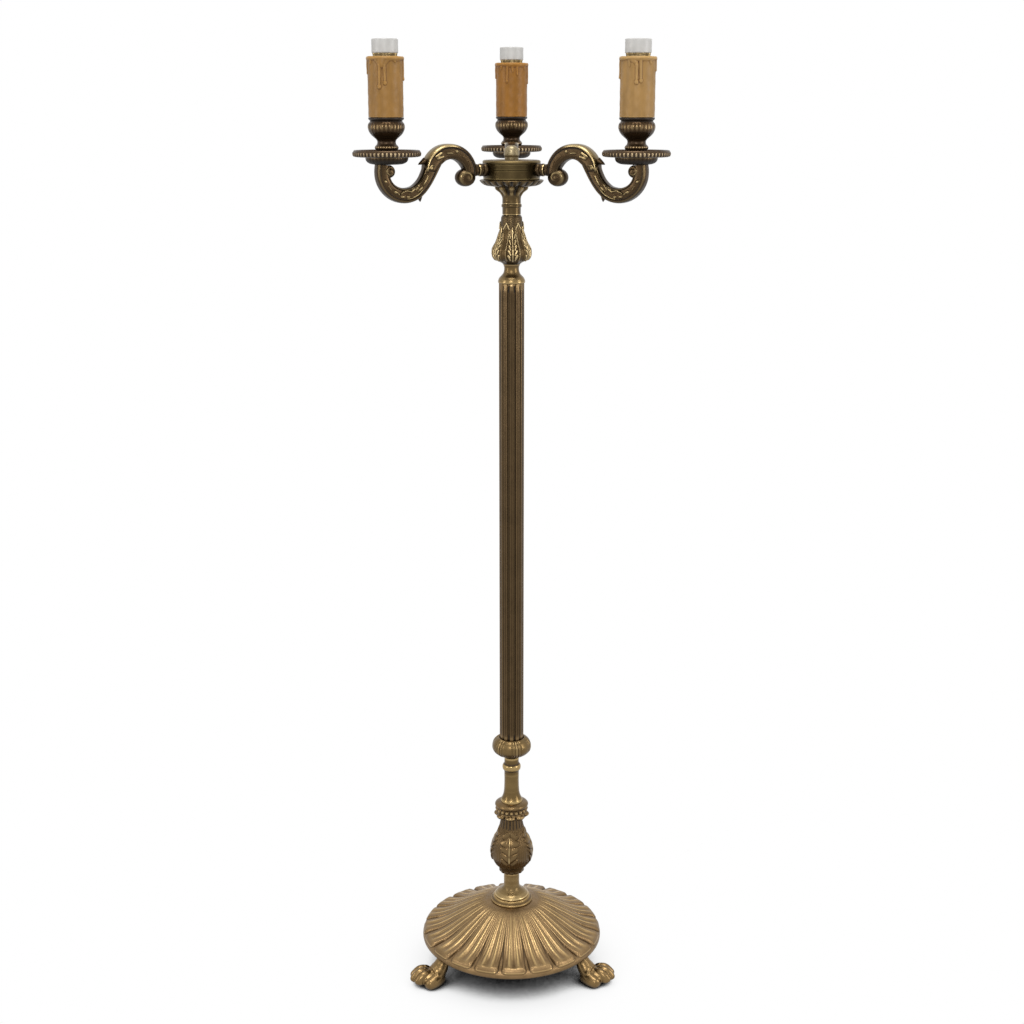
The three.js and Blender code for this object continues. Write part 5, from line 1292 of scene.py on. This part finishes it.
def studio():
    """A pale floor and a white surround that the camera and the brass both see. As seen, the floor glows rather than
    being lit, its strength a painted shadow as bright as the share of open sky over it, so that it is dark only in
    under the base."""
    bpy.ops.mesh.primitive_plane_add(size=40)
    floor = bpy.context.object
    floor.name = "studio_floor"
    material = bpy.data.materials.new("studio_white")
    material.use_nodes = True
    tree = material.node_tree
    tree.nodes.clear()
    path = tree.nodes.new("ShaderNodeLightPath")
    seen = maths(tree, "MAXIMUM", path.outputs["Is Camera Ray"], path.outputs["Is Glossy Ray"])
    seen = maths(tree, "MAXIMUM", seen, path.outputs["Is Transmission Ray"])
    # Painted shadow: the floor seen by the camera and in reflections glows as bright as the open sky over it.
    sky = add_node(tree, "ShaderNodeAmbientOcclusion", {"samples": 16}, Distance=0.5).outputs["AO"]
    near = ranged(tree, sky, 0.15, 0.5, 0.0, 0.84)
    level = maths(tree, "ADD", near, ranged(tree, sky, 0.3, 0.95, 0.0, 0.16))
    pale = tree.nodes.new("ShaderNodeBsdfDiffuse")
    pale.inputs["Color"].default_value = (0.86, 0.86, 0.86, 1.0)
    floor_painted_shadow = add_node(tree, "ShaderNodeEmission", Color=(1.0, 1.0, 1.0, 1.0), Strength=level)
    both = tree.nodes.new("ShaderNodeMixShader")
    tree.links.new(seen, both.inputs[0])
    tree.links.new(pale.outputs[0], both.inputs[1])
    tree.links.new(floor_painted_shadow.outputs[0], both.inputs[2])
    end = tree.nodes.new("ShaderNodeOutputMaterial")
    tree.links.new(both.outputs[0], end.inputs["Surface"])
    floor.data.materials.append(material)

    world = bpy.data.worlds.new("studio_surround")
    bpy.context.scene.world = world
    world.use_nodes = True
    tree = world.node_tree
    tree.nodes.clear()
    path = tree.nodes.new("ShaderNodeLightPath")
    seen = maths(tree, "MAXIMUM", path.outputs["Is Camera Ray"], path.outputs["Is Glossy Ray"])
    seen = maths(tree, "MAXIMUM", seen, path.outputs["Is Transmission Ray"])
    white = add_node(tree, "ShaderNodeBackground", Color=(1.0, 1.0, 1.0, 1.0), Strength=1.0)
    dim = add_node(tree, "ShaderNodeBackground", Color=(1.0, 1.0, 1.0, 1.0), Strength=0.3)
    choice = tree.nodes.new("ShaderNodeMixShader")
    end = tree.nodes.new("ShaderNodeOutputWorld")
    tree.links.new(seen, choice.inputs[0])
    tree.links.new(dim.outputs[0], choice.inputs[1])
    tree.links.new(white.outputs[0], choice.inputs[2])
    tree.links.new(choice.outputs[0], end.inputs["Surface"])


def soft_lamp(name, place, aim, size, power):
    """A square soft light at a place, turned towards a point."""
    light = bpy.data.lights.new(name, "AREA")
    light.shape = "RECTANGLE"
    light.size, light.size_y = size
    light.energy = power
    lamp = bpy.data.objects.new(name, light)
    bpy.context.scene.collection.objects.link(lamp)
    lamp.location = place
    away = np.array(place) - np.array(aim)
    lamp.rotation_euler = (math.atan2(math.hypot(away[0], away[1]), away[2]), 0, math.atan2(away[0], -away[1]))
    return lamp


def camera():
    """The photograph's view, from 1.4 m high and 2.4 m in front of the column."""
    data = bpy.data.cameras.new("view_camera")
    data.sensor_width = 36.0
    data.lens = 54.77
    data.shift_x = 0.0004
    view = bpy.data.objects.new("view_camera", data)
    bpy.context.scene.collection.objects.link(view)
    view.location = (0.0, -2.3877 + COLUMN_Y * MM, 1.4006)
    view.rotation_euler = (math.radians(90 - 14.431), 0.0, 0.0)
    bpy.context.scene.camera = view


studio()
soft_lamp("overhead_soft_lamp", (0.0, -0.7, 4.4), (0, 0, 0.4), (1.6, 1.6), 66)
soft_lamp("front_soft_lamp", (-0.25, -3.0, 2.3), (0, 0, 0.8), (0.9, 0.9), 26)
soft_lamp("left_soft_lamp", (-2.3, -1.1, 1.5), (0, 0, 0.9), (0.6, 1.8), 13)
soft_lamp("right_soft_lamp", (2.3, -0.9, 1.5), (0, 0, 0.9), (0.6, 1.8), 19)
camera()

bpy.context.scene.view_settings.view_transform = "Standard"
